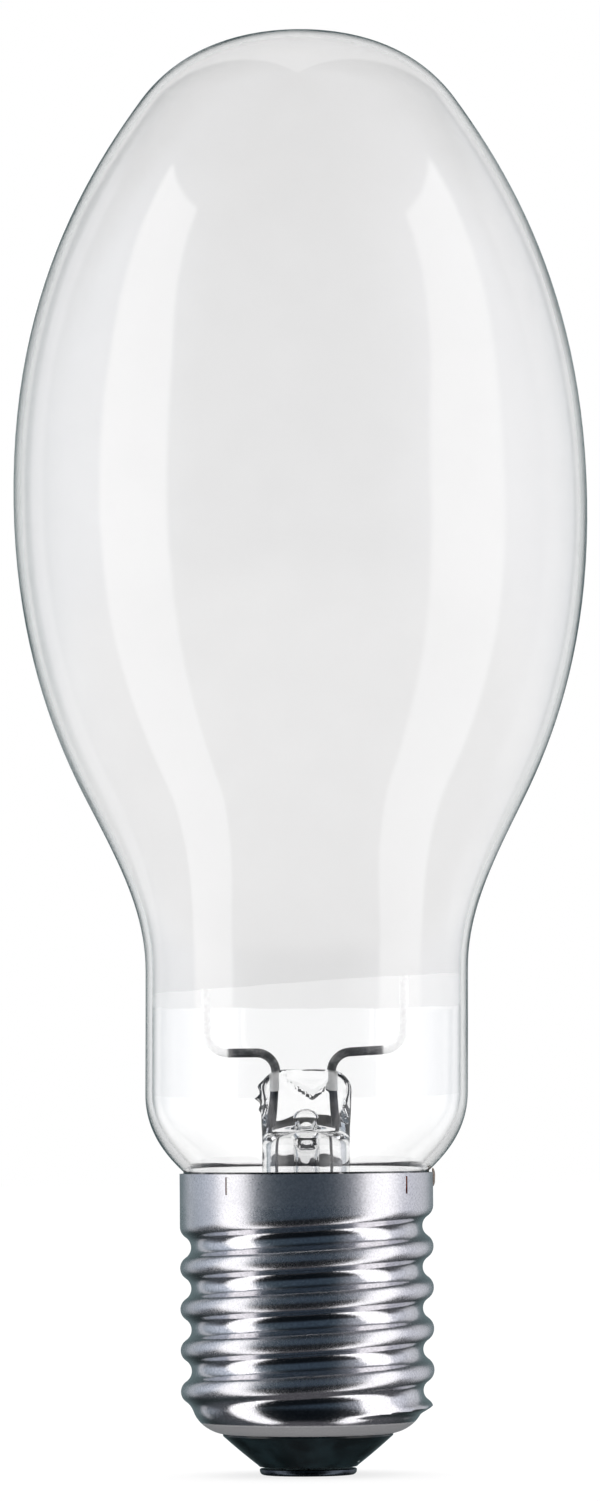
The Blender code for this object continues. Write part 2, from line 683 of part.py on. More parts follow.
def rim_solder(parts):
    """A flattened drop on the outside of the collar, over the notch."""
    face = COLLAR_RADIUS + SEAT / 2
    middle = (face, 0, LEAD_OUT_HEIGHT + RIM_SOLDER_ABOVE_LEAD)
    bpy.ops.mesh.primitive_uv_sphere_add(
        segments=8, ring_count=6, radius=0.5, location=middle, scale=RIM_SOLDER_SIZE
    )
    drop = bpy.context.object
    bpy.ops.object.transform_apply(location=True, rotation=False, scale=True)
    file_away(drop, "rim_solder", parts)
    drop.data.materials.append(soft_solder())
    shape = bmesh.new()
    shape.from_mesh(drop.data)
    everything = shape.verts[:] + shape.edges[:] + shape.faces[:]
    bmesh.ops.bisect_plane(
        shape, geom=everything, plane_co=(face, 0, 0), plane_no=(-1, 0, 0), clear_outer=True
    )
    bmesh.ops.holes_fill(shape, edges=[edge for edge in shape.edges if edge.is_boundary])
    for side in shape.faces:
        side.smooth = len(side.verts) <= 4
    shape.to_mesh(drop.data)
    shape.free()
    return drop


def stem_outline():
    """The flared tube with its closed top, before the top is pressed flat."""
    top = CAP_HEIGHT + PRESS_TOP
    flare = SLEEVE_RADIUS - BULB_WALL - SEAT
    flare_top = SLEEVE_END + FLARE_HEIGHT
    flare_run = flare - STEM_RADIUS
    corner = STEM_RADIUS - PRESS_CORNER
    outer_pull, inner_pull, wide_pull = FLARE_PULLS
    outline = [(0, top), (corner, top)]
    for turn in map(math.radians, PRESS_CORNER_TURNS):
        drop = PRESS_CORNER * (1 - math.cos(turn))
        outline.append((corner + PRESS_CORNER * math.sin(turn), top - drop))
    for height in (PRESS_FULL, (PRESS_START + PRESS_FULL) / 2, PRESS_START):
        outline.append((STEM_RADIUS, CAP_HEIGHT + height))
    outline += curve_between(
        (STEM_RADIUS, flare_top),
        (STEM_RADIUS, SLEEVE_END + FLARE_HEIGHT * outer_pull),
        (flare - flare_run * wide_pull, SLEEVE_END + FLARE_EDGE),
        (flare, SLEEVE_END + FLARE_EDGE),
        FLARE_STEPS,
    )
    outline += [(flare, SLEEVE_END + FLARE_EDGE), (flare, SLEEVE_END)]
    inner = STEM_RADIUS - STEM_WALL
    outline += curve_between(
        (flare, SLEEVE_END),
        (flare - flare_run * wide_pull, SLEEVE_END),
        (inner, SLEEVE_END + FLARE_HEIGHT * inner_pull),
        (inner, flare_top),
        FLARE_STEPS,
    )[1:]
    ceiling = CAP_HEIGHT + STEM_CAVITY_TOP
    outline += [(inner, flare_top), (inner, ceiling - STEM_CAVITY_ROUND)]
    outline += [(inner * out, ceiling - STEM_CAVITY_ROUND * down) for out, down in STEM_CAVITY_CROWN]
    return outline + [(0, ceiling)]


def stem(parts, cutters):
    """Flared glass stem, pressed flat at its top round the two seal wires."""
    glass = turned("stem", stem_outline(), STEM_STEPS, clear_glass(), parts)
    for vertex in settle(glass).vertices:
        pressed = smooth_step((vertex.co.z - CAP_HEIGHT - PRESS_START) / (PRESS_FULL - PRESS_START))
        vertex.co.x *= 1 + pressed * (PRESS_WIDTH / 2 / STEM_RADIUS - 1)
        vertex.co.y *= 1 + pressed * (PRESS_THICKNESS / 2 / STEM_RADIUS - 1)
    bore = ROD_RADIUS + SEAT
    for side, name in ((-1, "left_lead_bore"), (1, "right_lead_bore")):
        foot = (side * LEAD_X, 0, OUTER_LEAD_TOP - SEAT)
        head = (side * LEAD_X, 0, CAP_HEIGHT + PRESS_TOP + CUT_MARGIN)
        cut(glass, round_cutter(name, bore, foot, head, cutters))
    level = CAP_HEIGHT + STEM_CAVITY_TOP - BLOW_HOLE_BELOW
    hole_end = (0, STEM_RADIUS + CUT_MARGIN, level)
    cut(glass, round_cutter("blow_hole", BLOW_HOLE_RADIUS, (0, STEM_RADIUS / 2, level), hole_end, cutters))
    return glass


def exhaust_tube(parts):
    """The tube through which the bulb was pumped, open under the press and melted shut at its tip."""
    tip = EXHAUST_FOOT
    inner = EXHAUST_RADIUS - EXHAUST_WALL
    outline = [(inner, EXHAUST_TOP), (EXHAUST_RADIUS, EXHAUST_TOP)]
    outline += [(EXHAUST_RADIUS * out, tip + EXHAUST_TIP * up) for out, up in EXHAUST_TIP_OUTSIDE]
    outline += [(0, tip)]
    outline += [(inner * out, tip + EXHAUST_TIP * up) for out, up in EXHAUST_TIP_INSIDE]
    outline += [(inner, tip + EXHAUST_TIP), (inner, EXHAUST_TOP)]
    return turned("exhaust_tube", outline, TUBE_STEPS, clear_glass(), parts)


def seal_wire(name, side, parts):
    foot = (side * LEAD_X, 0, SEAL_WIRE_FOOT)
    head = (side * LEAD_X, 0, SEAL_WIRE_TOP)
    return wire(name, [foot, head], SEAL_WIRE_RADIUS, dark_metal(), parts)


def rim_lead(parts):
    """Thin lead from the right seal wire, under the sealed neck and up to the notch in the rim."""
    channel = SLEEVE_RADIUS + LEAD_CHANNEL / 2
    below = SLEEVE_END - RIM_LEAD_DROP
    taper_start = TAPER_FOOT - LEAD_CHANNEL / 2 * math.tan(TAPER_SLOPE / 2)
    taper_end = channel + (LEAD_OUT_HEIGHT - taper_start) * math.tan(TAPER_SLOPE)
    corners = [
        (LEAD_X, OUTER_LEAD_TOP),
        (LEAD_X, below),
        (channel, below),
        (channel, taper_start),
        (taper_end, LEAD_OUT_HEIGHT),
        (COLLAR_INSIDE + SHEET / 2, LEAD_OUT_HEIGHT),
    ]
    path = bent_path(lamp_plane(corners), RIM_LEAD_BEND)
    return wire("rim_lead", path, OUTER_LEAD_RADIUS, grey_wire(), parts)


def centre_lead(parts):
    """Thin lead from the left seal wire, down the cap's middle to the centre contact."""
    foot = CONTACT_DIMPLE_DEPTH + OUTER_LEAD_RADIUS
    corners = [
        (-LEAD_X, OUTER_LEAD_TOP),
        (-LEAD_X, EXHAUST_FOOT),
        (0, INSULATOR_TOP + CENTRE_LEAD_RISE),
        (0, foot),
    ]
    path = bent_path(lamp_plane(corners), CENTRE_LEAD_BEND)
    return wire("centre_lead", path, OUTER_LEAD_RADIUS, grey_wire(), parts)


def rod_foot(side):
    """Corners of a rod from its seal in the press to where it stands up in the bulb."""
    level = CAP_HEIGHT + PRESS_TOP + ROD_RISE
    return [(side * LEAD_X, SEAL_WIRE_TOP + SEAT), (side * LEAD_X, level), (side * ROD_X, level)]


def long_rod(parts):
    """Left support rod, which climbs past the arc tube and crosses over it under the crown."""
    corners = rod_foot(-1) + [(-ROD_X, RAIL_HEIGHT), (RAIL_OVERHANG, RAIL_HEIGHT)]
    path = bent_path(lamp_plane(corners), ROD_BEND_RADIUS)
    return wire("long_rod", path, ROD_RADIUS, grey_wire(), parts)


def short_rod(parts):
    """Right support rod, which ends just above the lower clamp."""
    head = ARC_MIDDLE - CLAMP_LEVEL + CLAMP_HEIGHT / 2 + ROD_PAST_CLAMP
    path = bent_path(lamp_plane(rod_foot(1) + [(ROD_X, head)]), ROD_BEND_RADIUS)
    return wire("short_rod", path, ROD_RADIUS, grey_wire(), parts)


def crown_spring(name, side, parts):
    """Leaf spring on the rail that bears on the coated inside of the crown."""
    level = RAIL_HEIGHT + ROD_RADIUS + SEAT + SPRING_THICKNESS / 2
    depth = BULB_WALL + SEAT + COATING + SEAT + SPRING_THICKNESS / 2
    wall = inset(bulb_outline(INSIDE_COUNTS), depth)
    low = point_at(wall, RAIL_HEIGHT + SPRING_TOUCH_LOW)
    high = point_at(wall, RAIL_HEIGHT + SPRING_TOUCH_HIGH)
    corners = [(SPRING_START, level), (RAIL_OVERHANG, level), low, high]
    path = bent_path(lamp_plane([(side * x, z) for x, z in corners]), SPRING_BEND)
    mesh = bpy.data.meshes.new(name)
    edge = -SPRING_WIDTH / 2
    edges = [(index, index + 1) for index in range(len(path) - 1)]
    mesh.from_pydata([(spot.x, edge, spot.z) for spot in path], edges, [])
    leaf = add_mesh(name, mesh, grey_wire(), parts)
    shape = bmesh.new()
    shape.from_mesh(mesh)
    grown = bmesh.ops.extrude_edge_only(shape, edges=shape.edges[:])["geom"]
    moved = [item for item in grown if isinstance(item, bmesh.types.BMVert)]
    bmesh.ops.translate(shape, verts=moved, vec=(0, SPRING_WIDTH, 0))
    shape.to_mesh(mesh)
    shape.free()
    wall_sheet = leaf.modifiers.new("sheet", "SOLIDIFY")
    wall_sheet.thickness = SPRING_THICKNESS
    wall_sheet.offset = 0
    return leaf


def arc_tube(parts, cutters):
    """Quartz tube with a chamber, pressed flat at both ends round the foils."""
    corner = ARC_TUBE_CORNER
    upper = [
        (0, ARC_TUBE_END),
        (ARC_TUBE_RADIUS - corner, ARC_TUBE_END),
        (ARC_TUBE_RADIUS, ARC_TUBE_END - corner),
        (ARC_TUBE_RADIUS, PINCH_START + PINCH_RUN),
        (ARC_TUBE_RADIUS, PINCH_START + PINCH_RUN / 2),
        (ARC_TUBE_RADIUS, PINCH_START),
    ]
    outline = upper + [(radius, -height) for radius, height in upper[::-1]]
    tube = turned("arc_tube", outline, ARC_TUBE_STEPS, quartz(), parts)
    for vertex in settle(tube).vertices:
        pressed = smooth_step((abs(vertex.co.z) - PINCH_START) / PINCH_RUN)
        vertex.co.y *= 1 + pressed * (PINCH_THICKNESS / 2 / ARC_TUBE_RADIUS - 1)
    tube.location.z = ARC_MIDDLE
    arc = [
        (CHAMBER_RADIUS * math.sin(turn), CHAMBER_END - CHAMBER_DOME * (1 - math.cos(turn)))
        for turn in (0, math.radians(30), math.radians(60), math.radians(90))
    ]
    chamber = arc + [(radius, -height) for radius, height in arc[::-1]]
    hollow = as_cutter(turned("arc_chamber", chamber, ARC_TUBE_STEPS, None, cutters))
    hollow.location.z = ARC_MIDDLE
    cut(tube, hollow)
    reach = ARC_TUBE_END + SEAT
    ends = ((0, 0, ARC_MIDDLE - reach), (0, 0, ARC_MIDDLE + reach))
    cut(tube, round_cutter("arc_tube_bore", BORE_RADIUS, *ends, cutters, steps=BORE_STEPS))
    for side, name in ((1, "upper_foil_slot"), (-1, "lower_foil_slot")):
        cut(tube, foil_block(name, side, SEAT, None, cutters))
    return tube


def foil_block(name, side, margin, finish, collection):
    """A foil's flat block at one end of the arc tube, with a margin all round."""
    ends = sorted(ARC_MIDDLE + side * level for level in (FOIL_START - margin, FOIL_END + margin))
    half_width = FOIL_WIDTH / 2 + margin
    half_thickness = FOIL_THICKNESS / 2 + margin
    low = (-half_width, -half_thickness, ends[0])
    return box(name, low, (half_width, half_thickness, ends[1]), finish, collection)


def electrode(name, side, parts):
    """Tungsten rod from the arc to the foil."""
    tip = (0, 0, ARC_MIDDLE + side * ARC_GAP / 2)
    root = (0, 0, ARC_MIDDLE + side * (FOIL_START - SEAT))
    return wire(name, [tip, root], ELECTRODE_RADIUS, dark_metal(), parts)


def electrode_coil(name, side, parts):
    """The turns of wire round the electrode's head."""
    radius = ELECTRODE_RADIUS + SEAT + COIL_WIRE_RADIUS
    start = ARC_MIDDLE + side * (ARC_GAP / 2 + COIL_FROM_TIP)
    points = []
    for step in range(COIL_TURNS * COIL_STEPS + 1):
        turn = math.tau * step / COIL_STEPS
        height = start + side * COIL_PITCH * step / COIL_STEPS
        points.append((radius * math.cos(turn), radius * math.sin(turn), height))
    return wire(name, points, COIL_WIRE_RADIUS, dark_metal(), parts)


def arc_link(name, side, rod_side, parts):
    """The lead out of one end of the arc tube, bent over to the rod that feeds it."""
    level = ARC_MIDDLE + side * LINK_LEVEL
    root = ARC_MIDDLE + side * (FOIL_END + SEAT)
    corners = [(0, root), (0, level), (rod_side * (ROD_X - ROD_RADIUS - SEAT), level)]
    path = bent_path(lamp_plane(corners), LINK_BEND_RADIUS)
    return wire(name, path, ELECTRODE_RADIUS, grey_wire(), parts)


def clamp(name, side, rod_side, parts):
    """A strap round one pinch, with an ear that reaches its rod."""
    inner_x = ARC_TUBE_RADIUS + SEAT
    inner_y = PINCH_THICKNESS / 2 + SEAT
    outer_x = inner_x + CLAMP_SHEET
    outer_y = inner_y + CLAMP_SHEET
    ear = ROD_X - ROD_RADIUS - SEAT
    outside = [
        (-outer_x, -outer_y),
        (outer_x, -outer_y),
        (outer_x, -CLAMP_SHEET),
        (ear, -CLAMP_SHEET),
        (ear, CLAMP_SHEET),
        (outer_x, CLAMP_SHEET),
        (outer_x, outer_y),
        (-outer_x, outer_y),
    ]
    inside = [(-inner_x, -inner_y), (-inner_x, inner_y), (inner_x, inner_y), (inner_x, -inner_y)]
    curve = bpy.data.curves.new(name, "CURVE")
    curve.dimensions = "2D"
    curve.fill_mode = "BOTH"
    curve.extrude = CLAMP_HEIGHT / 2
    for corners in (outside, inside):
        spline = curve.splines.new("POLY")
        spline.points.add(len(corners) - 1)
        for spot, (x, y) in zip(spline.points, corners):
            spot.co = (rod_side * x, y, 0, 1)
        spline.use_cyclic_u = True
    curve.materials.append(grey_wire())
    strap = bpy.data.objects.new(name, curve)
    strap.location.z = ARC_MIDDLE + side * CLAMP_LEVEL
    parts.objects.link(strap)
    return strap


def getter(parts):
    """A small flat plate on the long rod that binds stray gas in the bulb."""
    thickness, width, height = GETTER_SIZE
    near = -ROD_X + ROD_RADIUS + SEAT
    top = ARC_MIDDLE - LINK_LEVEL - GETTER_BELOW_LINK
    low = (near, -width / 2, top - height)
    plate = box("getter", low, (near + thickness, width / 2, top), dark_metal(), parts)
    edges = plate.modifiers.new("edges", "BEVEL")
    edges.width = GETTER_EDGE
    edges.segments = 1
    return plate


def build():
    clear_scene()
    parts = new_collection("metal_halide_lamp")
    cutters = new_collection("cutters")
    screw_shell(parts, cutters)
    contact_insulator(parts)
    centre_contact(parts)
    contact_solder(parts)
    rim_solder(parts)
    outer_bulb(parts)
    diffuse_coating(parts)
    stem(parts, cutters)
    exhaust_tube(parts)
    seal_wire("left_seal_wire", -1, parts)
    seal_wire("right_seal_wire", 1, parts)
    rim_lead(parts)
    centre_lead(parts)
    long_rod(parts)
    short_rod(parts)
    crown_spring("left_crown_spring", -1, parts)
    crown_spring("right_crown_spring", 1, parts)
    arc_tube(parts, cutters)
    for word, side, rod_side in (("upper", 1, -1), ("lower", -1, 1)):
        electrode(f"{word}_electrode", side, parts)
        electrode_coil(f"{word}_electrode_coil", side, parts)
        foil_block(f"{word}_foil", side, 0, dark_metal(), parts)
        arc_link(f"{word}_arc_link", side, rod_side, parts)
        clamp(f"{word}_clamp", side, rod_side, parts)
    getter(parts)


build()
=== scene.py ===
"""Metal halide lamp: the blown and coated bulb, the rolled screw cap, the pressed stem and its wires, with
their finishes, and the plain studio that shows them.

Metres, +Z up along the lamp's axis, -Y the front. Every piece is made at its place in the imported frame.
"""

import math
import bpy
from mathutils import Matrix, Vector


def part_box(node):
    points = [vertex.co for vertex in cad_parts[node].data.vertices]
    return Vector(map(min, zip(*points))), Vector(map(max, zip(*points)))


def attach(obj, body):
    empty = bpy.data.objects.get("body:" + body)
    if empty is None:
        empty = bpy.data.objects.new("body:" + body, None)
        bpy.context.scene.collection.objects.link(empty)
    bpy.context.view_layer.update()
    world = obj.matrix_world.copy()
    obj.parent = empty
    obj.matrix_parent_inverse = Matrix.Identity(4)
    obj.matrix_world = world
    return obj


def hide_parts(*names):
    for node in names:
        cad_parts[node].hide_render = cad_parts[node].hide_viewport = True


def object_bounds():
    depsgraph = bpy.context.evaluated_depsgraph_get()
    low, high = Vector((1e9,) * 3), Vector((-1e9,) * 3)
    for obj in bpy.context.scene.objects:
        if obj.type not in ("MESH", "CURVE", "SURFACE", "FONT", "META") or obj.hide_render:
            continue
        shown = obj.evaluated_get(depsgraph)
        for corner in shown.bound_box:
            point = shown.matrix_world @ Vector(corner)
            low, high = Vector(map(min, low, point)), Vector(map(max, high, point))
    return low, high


bl_info = {
    "name": "Metal halide lamp",
    "version": (1, 0, 0),
    "blender": (4, 5, 0),
    "location": "3D View > Sidebar > Lamp",
    "description": "Makes a coated metal halide lamp on its screw cap, with finishes and a studio",
    "category": "Add Mesh",
}

import bpy
from bpy.props import FloatProperty, FloatVectorProperty, PointerProperty
from mathutils import Quaternion, Vector, geometry, noise

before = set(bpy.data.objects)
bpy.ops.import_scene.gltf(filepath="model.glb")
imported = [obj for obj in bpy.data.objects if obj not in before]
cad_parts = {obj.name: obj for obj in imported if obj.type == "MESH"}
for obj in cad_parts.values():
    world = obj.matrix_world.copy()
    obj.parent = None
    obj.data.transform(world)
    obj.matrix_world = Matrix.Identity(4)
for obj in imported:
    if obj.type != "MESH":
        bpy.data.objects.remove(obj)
CAD_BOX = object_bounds()

MM = 0.001
WELD = 0.000002  # points closer than this are one point
SEAT = 0.3 * MM  # what the frame's solids leave between pieces that touch

# Heights and radii that the frame gives.
BULB_LOW, BULB_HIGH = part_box("outer_bulb")
SHELL_LOW, SHELL_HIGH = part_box("screw_shell")
COATING_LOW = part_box("diffuse_coating")[0]
CONTACT_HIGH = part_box("centre_contact")[1]
DROP_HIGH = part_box("contact_solder")[1]
INSULATOR_LOW, INSULATOR_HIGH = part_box("contact_insulator")
STEM_LOW, STEM_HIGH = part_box("stem")
EXHAUST_LOW, EXHAUST_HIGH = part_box("exhaust_tube")
SEAL_LOW, SEAL_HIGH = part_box("right_seal_wire")
ROD_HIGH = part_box("long_rod")[1]
SHORT_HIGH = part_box("short_rod")[1]
RIM = SHELL_HIGH.z

# The bulb's curve, as shares of its heights and radii: knees, their slopes from level, and handle lengths.
CROWN_KNEE = (0.551, 0.852)
CROWN_SLOPE = math.radians(54)
CROWN_PULLS = (0.293, 0.156, 0.245, 0.395)
BELLY_KNEE = (0.455, 0.362)
BELLY_SLOPE = math.radians(63)
BELLY_PULLS = (0.290, 0.164, 0.149, 0.124)
SHOULDER_SLOPE = math.radians(43)
SHOULDER_PULLS = (0.43, 0.36)
BULB_COUNTS = (22, 24, 18, 20, 6, 20)  # points of the crown's tip and side, belly, waist, neck, shoulder
BULB_TURNS = 144
SHOULDER_WALL = 0.3 * MM  # how much thicker the glass is at the foot of the shoulder
DRIFT = 0.33 * MM  # how far the bulb wanders off its axis, to the right low down and to the left high up
SLEEVE_STEP = 2.6 * MM  # how much narrower the bulb gets inside the cap
TAPER_TOP = 0.5 * MM  # below the rim, where it starts to narrow
TAPER_SLOPE = math.radians(41)  # from the axis
POWDER_ROWS = 8  # rows of points in the neck, which follow the powder's edge

# The cap's rolled sheet.
GROOVE_RUN = (8.2 * MM, 5.3 * MM)  # below the rim, where the groove is whole and where it has run out
RIDGE_RUN = (1.6 * MM, 0.2 * MM)  # above the bell's edge, likewise for the last ridge
BELL_HEIGHT = 8.1 * MM
BELL_TOP = 11.4 * MM  # where the bell starts to turn in
BELL_CORNER = 9.3 * MM  # below this nothing stands out from the bell
LIP_RADIUS = 12.9 * MM
SHELL_ROW = 0.27 * MM
SHELL_TURNS = 200
SLIT = (0.45 * MM, 2.7 * MM, 0.45 * MM)  # width, length and distance below the rim
SLIT_COUNT = 4
SLIT_TURN = math.radians(6.5)
NOTCH = (1.1 * MM, 2.3 * MM)  # width and depth
CUT_CLEAR = 0.6 * MM  # how far the cutters reach past the sheet
CUT_EDGE_ROUGHNESS = 0.45
COLLAR_FROM = (40.6 * MM, 42.0 * MM)  # height where the duller collar starts, from and to
CREST_FROM = (18.8 * MM, 19.5 * MM)  # radius where the duller crests start
MATT_LIP = (7.9 * MM, 8.3 * MM)  # height where the matt lip ends

# The black glass and what is seated in it.
BASE_TURNS = 120
GLASS_GAP = 0.05 * MM  # between the black glass and the sheet around it
GLASS_BORE = 1.5 * MM
CONE_EDGE = 0.25 * MM
CONE_FOOT = 0.2 * MM
CONE_SWELL = 0.10 * MM
CONE_ROWS = 12
PLATE_BORE = 0.4 * MM
PLATE_ROUND = 0.7 * MM
PLATE_BEVEL = (0.15 * MM, 0.12 * MM)  # width and height
DIMPLE_LIP = ((0.5 * MM, 0), (0.18 * MM, 0.06 * MM), (0, 0.2 * MM))  # out from the dimple, and height
DROP_TURNS = 48
DROP_GAP = 0.02 * MM
DROP_SIDE = 0.3 * MM  # height where the drop's side turns into its dome
DROP_DOME = 0.26 * MM
RIM_DROP_SINK = 0.05 * MM  # how far its cut face is inside the collar


def length(name, description, default):
    """A size that the sidebar shows in the scene's unit."""
    return FloatProperty(
        name=name,
        description=description,
        default=default,
        min=0,
        precision=5,
        unit="LENGTH",
        subtype="DISTANCE",
    )


def share(name, description, default, most=1.0):
    """A factor that the sidebar shows as a slider."""
    return FloatProperty(
        name=name,
        description=description,
        default=default,
        min=0,
        max=most,
        subtype="FACTOR",
    )


def colour(name, description, default):
    return FloatVectorProperty(
        name=name,
        description=description,
        default=default,
        size=3,
        min=0,
        max=1,
        subtype="COLOR",
    )


class LampSizes(bpy.types.PropertyGroup):
    """Sizes of the lamp's pieces."""

    bulb_radius: length("Bulb radius", "Half the bulb's largest width", BULB_HIGH.x)
    bulb_wall: length("Bulb wall", "Thickness of the blown glass", 1.0 * MM)
    neck_radius: length("Neck radius", "Half the width of the bulb's straight neck", 24.95 * MM)
    shoulder_height: length("Shoulder", "Height of the rounded shoulder above the cap", 12.4 * MM)
    neck_length: length("Neck", "Height of the straight neck", 19.0 * MM)
    belly_height: length("Belly", "From the neck's top up to the widest place", 72.6 * MM)
    powder: length("Powder", "Thickness of the white coating", 0.12 * MM)
    powder_gap: length("Powder gap", "Between the glass and the coating", 0.03 * MM)
    powder_back: length("Powder edge, back", "Above the cap's rim, round the back", COATING_LOW.z - RIM)
    powder_front: length("Powder edge, front", "Above the cap's rim, at the front", 29.2 * MM)
    powder_tilt: length("Powder edge, tilt", "Rise of the front edge at the right", 1.5 * MM)
    thread_depth: length("Thread depth", "From crest to root", 1.7 * MM)
    thread_pitch: length("Thread pitch", "From one ridge to the next", 6.35 * MM)
    crest_height: length("Crest height", "Where one ridge passes the right side", 28.75 * MM)
    sheet: length("Sheet", "Thickness of the cap's metal", 0.3 * MM)
    stem_radius: length("Stem radius", "Half the width of the stem's tube", 6.8 * MM)
    stem_wall: length("Stem wall", "Thickness of the stem's tube", 1.2 * MM)
    press_width: length("Press width", "Width of the pressed top of the stem", 14.2 * MM)
    press_thickness: length("Press thickness", "Thickness of the pressed top", 5.8 * MM)
    rod_radius: length("Rod radius", "Half the thickness of the support rods", 0.7 * MM)
    seal_radius: length("Seal wire radius", "Half the thickness of the wires in the press", 0.6 * MM)
    lead_radius: length("Lead radius", "Half the thickness of the outer leads", 0.25 * MM)


class LampFinishes(bpy.types.PropertyGroup):
    """Colours and roughness of the lamp's surfaces."""

    glass: colour("Glass", "Tint of the clear glass", (0.99, 0.99, 0.99))
    # glass_edge_shade: painted shade that darkens the glass where it is seen edge-on, in place of the dark
    # edges it refracts
    glass_edge_shade: colour("Glass edge", "Tint of the glass where it is seen edge-on", (0.29, 0.30, 0.30))
    powder: colour("Powder", "White phosphor-like coating", (0.957, 0.955, 0.955))
    nickel: colour("Nickel", "Plated sheet of the cap", (0.785, 0.77, 0.79))
    nickel_roughness: share("Nickel roughness", "Blur of the cap's reflections", 0.14)
    bare_brass: colour("Bare brass", "Cut edges of the cap's sheet", (0.20, 0.035, 0.02))
    black_glass: colour("Black glass", "Moulded insulator", (0.003, 0.006, 0.007))
    # contact: the metal plate is kept near black as painted shade under the lamp, not as a dulled finish
    contact: colour("Contact", "Dulled end plate", (0.055, 0.065, 0.08))
    solder: colour("Solder", "Dull solder drops", (0.42, 0.33, 0.27))
    # wire: this pale tone is a painted reflection of the bright strip on the rods, not a cleaner metal
    wire: colour("Wire", "Clean nickel wire", (0.93, 0.93, 0.93))
    # dark_wire: the rods' dark tone near the press, beside their pale painted reflection
    dark_wire: colour("Oxide", "Wire darkened by the heat of the seal", (0.085, 0.085, 0.085))
    tungsten: colour("Tungsten", "Dark seal and electrode metal", (0.09, 0.09, 0.10))


class LampStudio(bpy.types.PropertyGroup):
    """Camera and light of the plain studio."""

    distance: length("Camera distance", "In front of the lamp's axis", 1.2)
    height: length("Camera height", "Above the floor", 58.0 * MM)
    aim: length("Aim height", "Height on the lamp that the camera looks at", 111.9 * MM)
    field: length("Field", "Height of the picture at the lamp", 232.7 * MM)
    lean: FloatProperty(
        name="Lean",
        description="Turn of the camera about its view",
        default=math.radians(0.41),
        unit="ROTATION",
        subtype="ANGLE",
    )
    ambient: share("Ambient", "Even light on matt surfaces", 1.48, 2.0)
    strips: share("Strips", "Brightness of the two tall soft boxes", 1.5, 4.0)


def deselect():
    if bpy.context.mode != "OBJECT":
        bpy.ops.object.mode_set(mode="OBJECT")
    bpy.ops.object.select_all(action="DESELECT")


def pick(piece):
    """Makes a piece the only one that is selected."""
    deselect()
    piece.select_set(True)
    bpy.context.view_layer.objects.active = piece


def face_outwards():
    """Turns every face of the edited piece outwards and leaves edit mode."""
    bpy.ops.mesh.select_all(action="SELECT")
    bpy.ops.mesh.normals_make_consistent(inside=False)
    bpy.ops.object.mode_set(mode="OBJECT")


def name_new(name):
    """Names the primitive that was just added and puts its place into its mesh."""
    piece = bpy.context.object
    piece.name = piece.data.name = name
    bpy.ops.object.transform_apply(location=True, rotation=True, scale=True)
    return piece


def draw_outline(name, outline):
    """A new piece that is a line through points (radius, height), left selected in edit mode."""
    deselect()
    radius, height = outline[0]
    bpy.ops.mesh.primitive_plane_add(size=MM, location=(radius, 0, height))
    piece = name_new(name)
    bpy.ops.object.mode_set(mode="EDIT")
    bpy.ops.mesh.select_all(action="SELECT")
    bpy.ops.mesh.merge(type="CENTER")
    for before, after in zip(outline, outline[1:]):
        move = (after[0] - before[0], 0, after[1] - before[1])
        bpy.ops.mesh.extrude_region_move(TRANSFORM_OT_translate={"value": move})
    return piece


def turn(name, outline, steps):
    """A turned piece whose outline runs down its outer side, and back up the inner one if it has one."""
    piece = draw_outline(name, outline)
    bpy.ops.mesh.select_all(action="SELECT")
    bpy.ops.mesh.spin(steps=steps, angle=math.tau, center=(0, 0, 0), axis=(0, 0, 1))
    bpy.ops.mesh.select_all(action="SELECT")
    bpy.ops.mesh.remove_doubles(threshold=WELD)
    face_outwards()
    return piece


def apply_modifier(piece, kind, **settings):
    """Adds a modifier with its settings and applies it."""
    pick(piece)
    bpy.ops.object.modifier_add(type=kind)
    modifier = piece.modifiers[-1]
    for key, value in settings.items():
        setattr(modifier, key, value)
    bpy.ops.object.modifier_apply(modifier=modifier.name)


def shade(piece, angle=40):
    """Smooth shading, with edges kept sharp that turn by more than an angle in degrees."""
    pick(piece)
    bpy.ops.object.shade_smooth_by_angle(angle=math.radians(angle))


def stand_for(piece, node):
    """Puts a piece in the place of one of the frame's solids."""
    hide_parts(node)
    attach(piece, "root")


def fit(piece, node, finish):
    """Gives a piece its one finish and puts it in the place of a solid."""
    piece.data.materials.clear()
    piece.data.materials.append(finish)
    stand_for(piece, node)


def smooth_step(value):
    value = min(max(value, 0.0), 1.0)
    return value * value * (3 - 2 * value)


def curve_between(start, start_pull, end_pull, end, count):
    """Points (radius, height) of one smooth stretch, without its last."""
    knots = [Vector((*point, 0)) for point in (start, start_pull, end_pull, end)]
    return [(p.x, p.y) for p in geometry.interpolate_bezier(*knots, count + 1)][:-1]


def straight(start, end, count):
    """Points (radius, height) of one straight stretch, without its last."""
    across = end[0] - start[0]
    up = end[1] - start[1]
    return [(start[0] + across * step / count, start[1] + up * step / count) for step in range(count)]


def quarter_round(middle, width, height, count):
    """Points of a quarter round about its middle, from its side up, or down if the height is negative."""
    angles = [math.pi / 2 * step / count for step in range(count + 1)]
    return [(middle[0] + width * math.cos(a), middle[1] + height * math.sin(a)) for a in angles]


def inset(outline, depth):
    """The same outline moved inwards, square to itself, by a depth or by a function of the height."""
    moved = []
    for index, (radius, height) in enumerate(outline):
        before = Vector(outline[max(index - 1, 0)])
        after = Vector(outline[min(index + 1, len(outline) - 1)])
        along = (after - before).normalized()
        if radius == 0:
            along = Vector((1, 0))
        here = depth(height) if callable(depth) else depth
        moved.append((max(radius + along.y * here, 0), height - along.x * here))
    return moved


def neck_top(sizes):
    return RIM + sizes.shoulder_height + sizes.neck_length


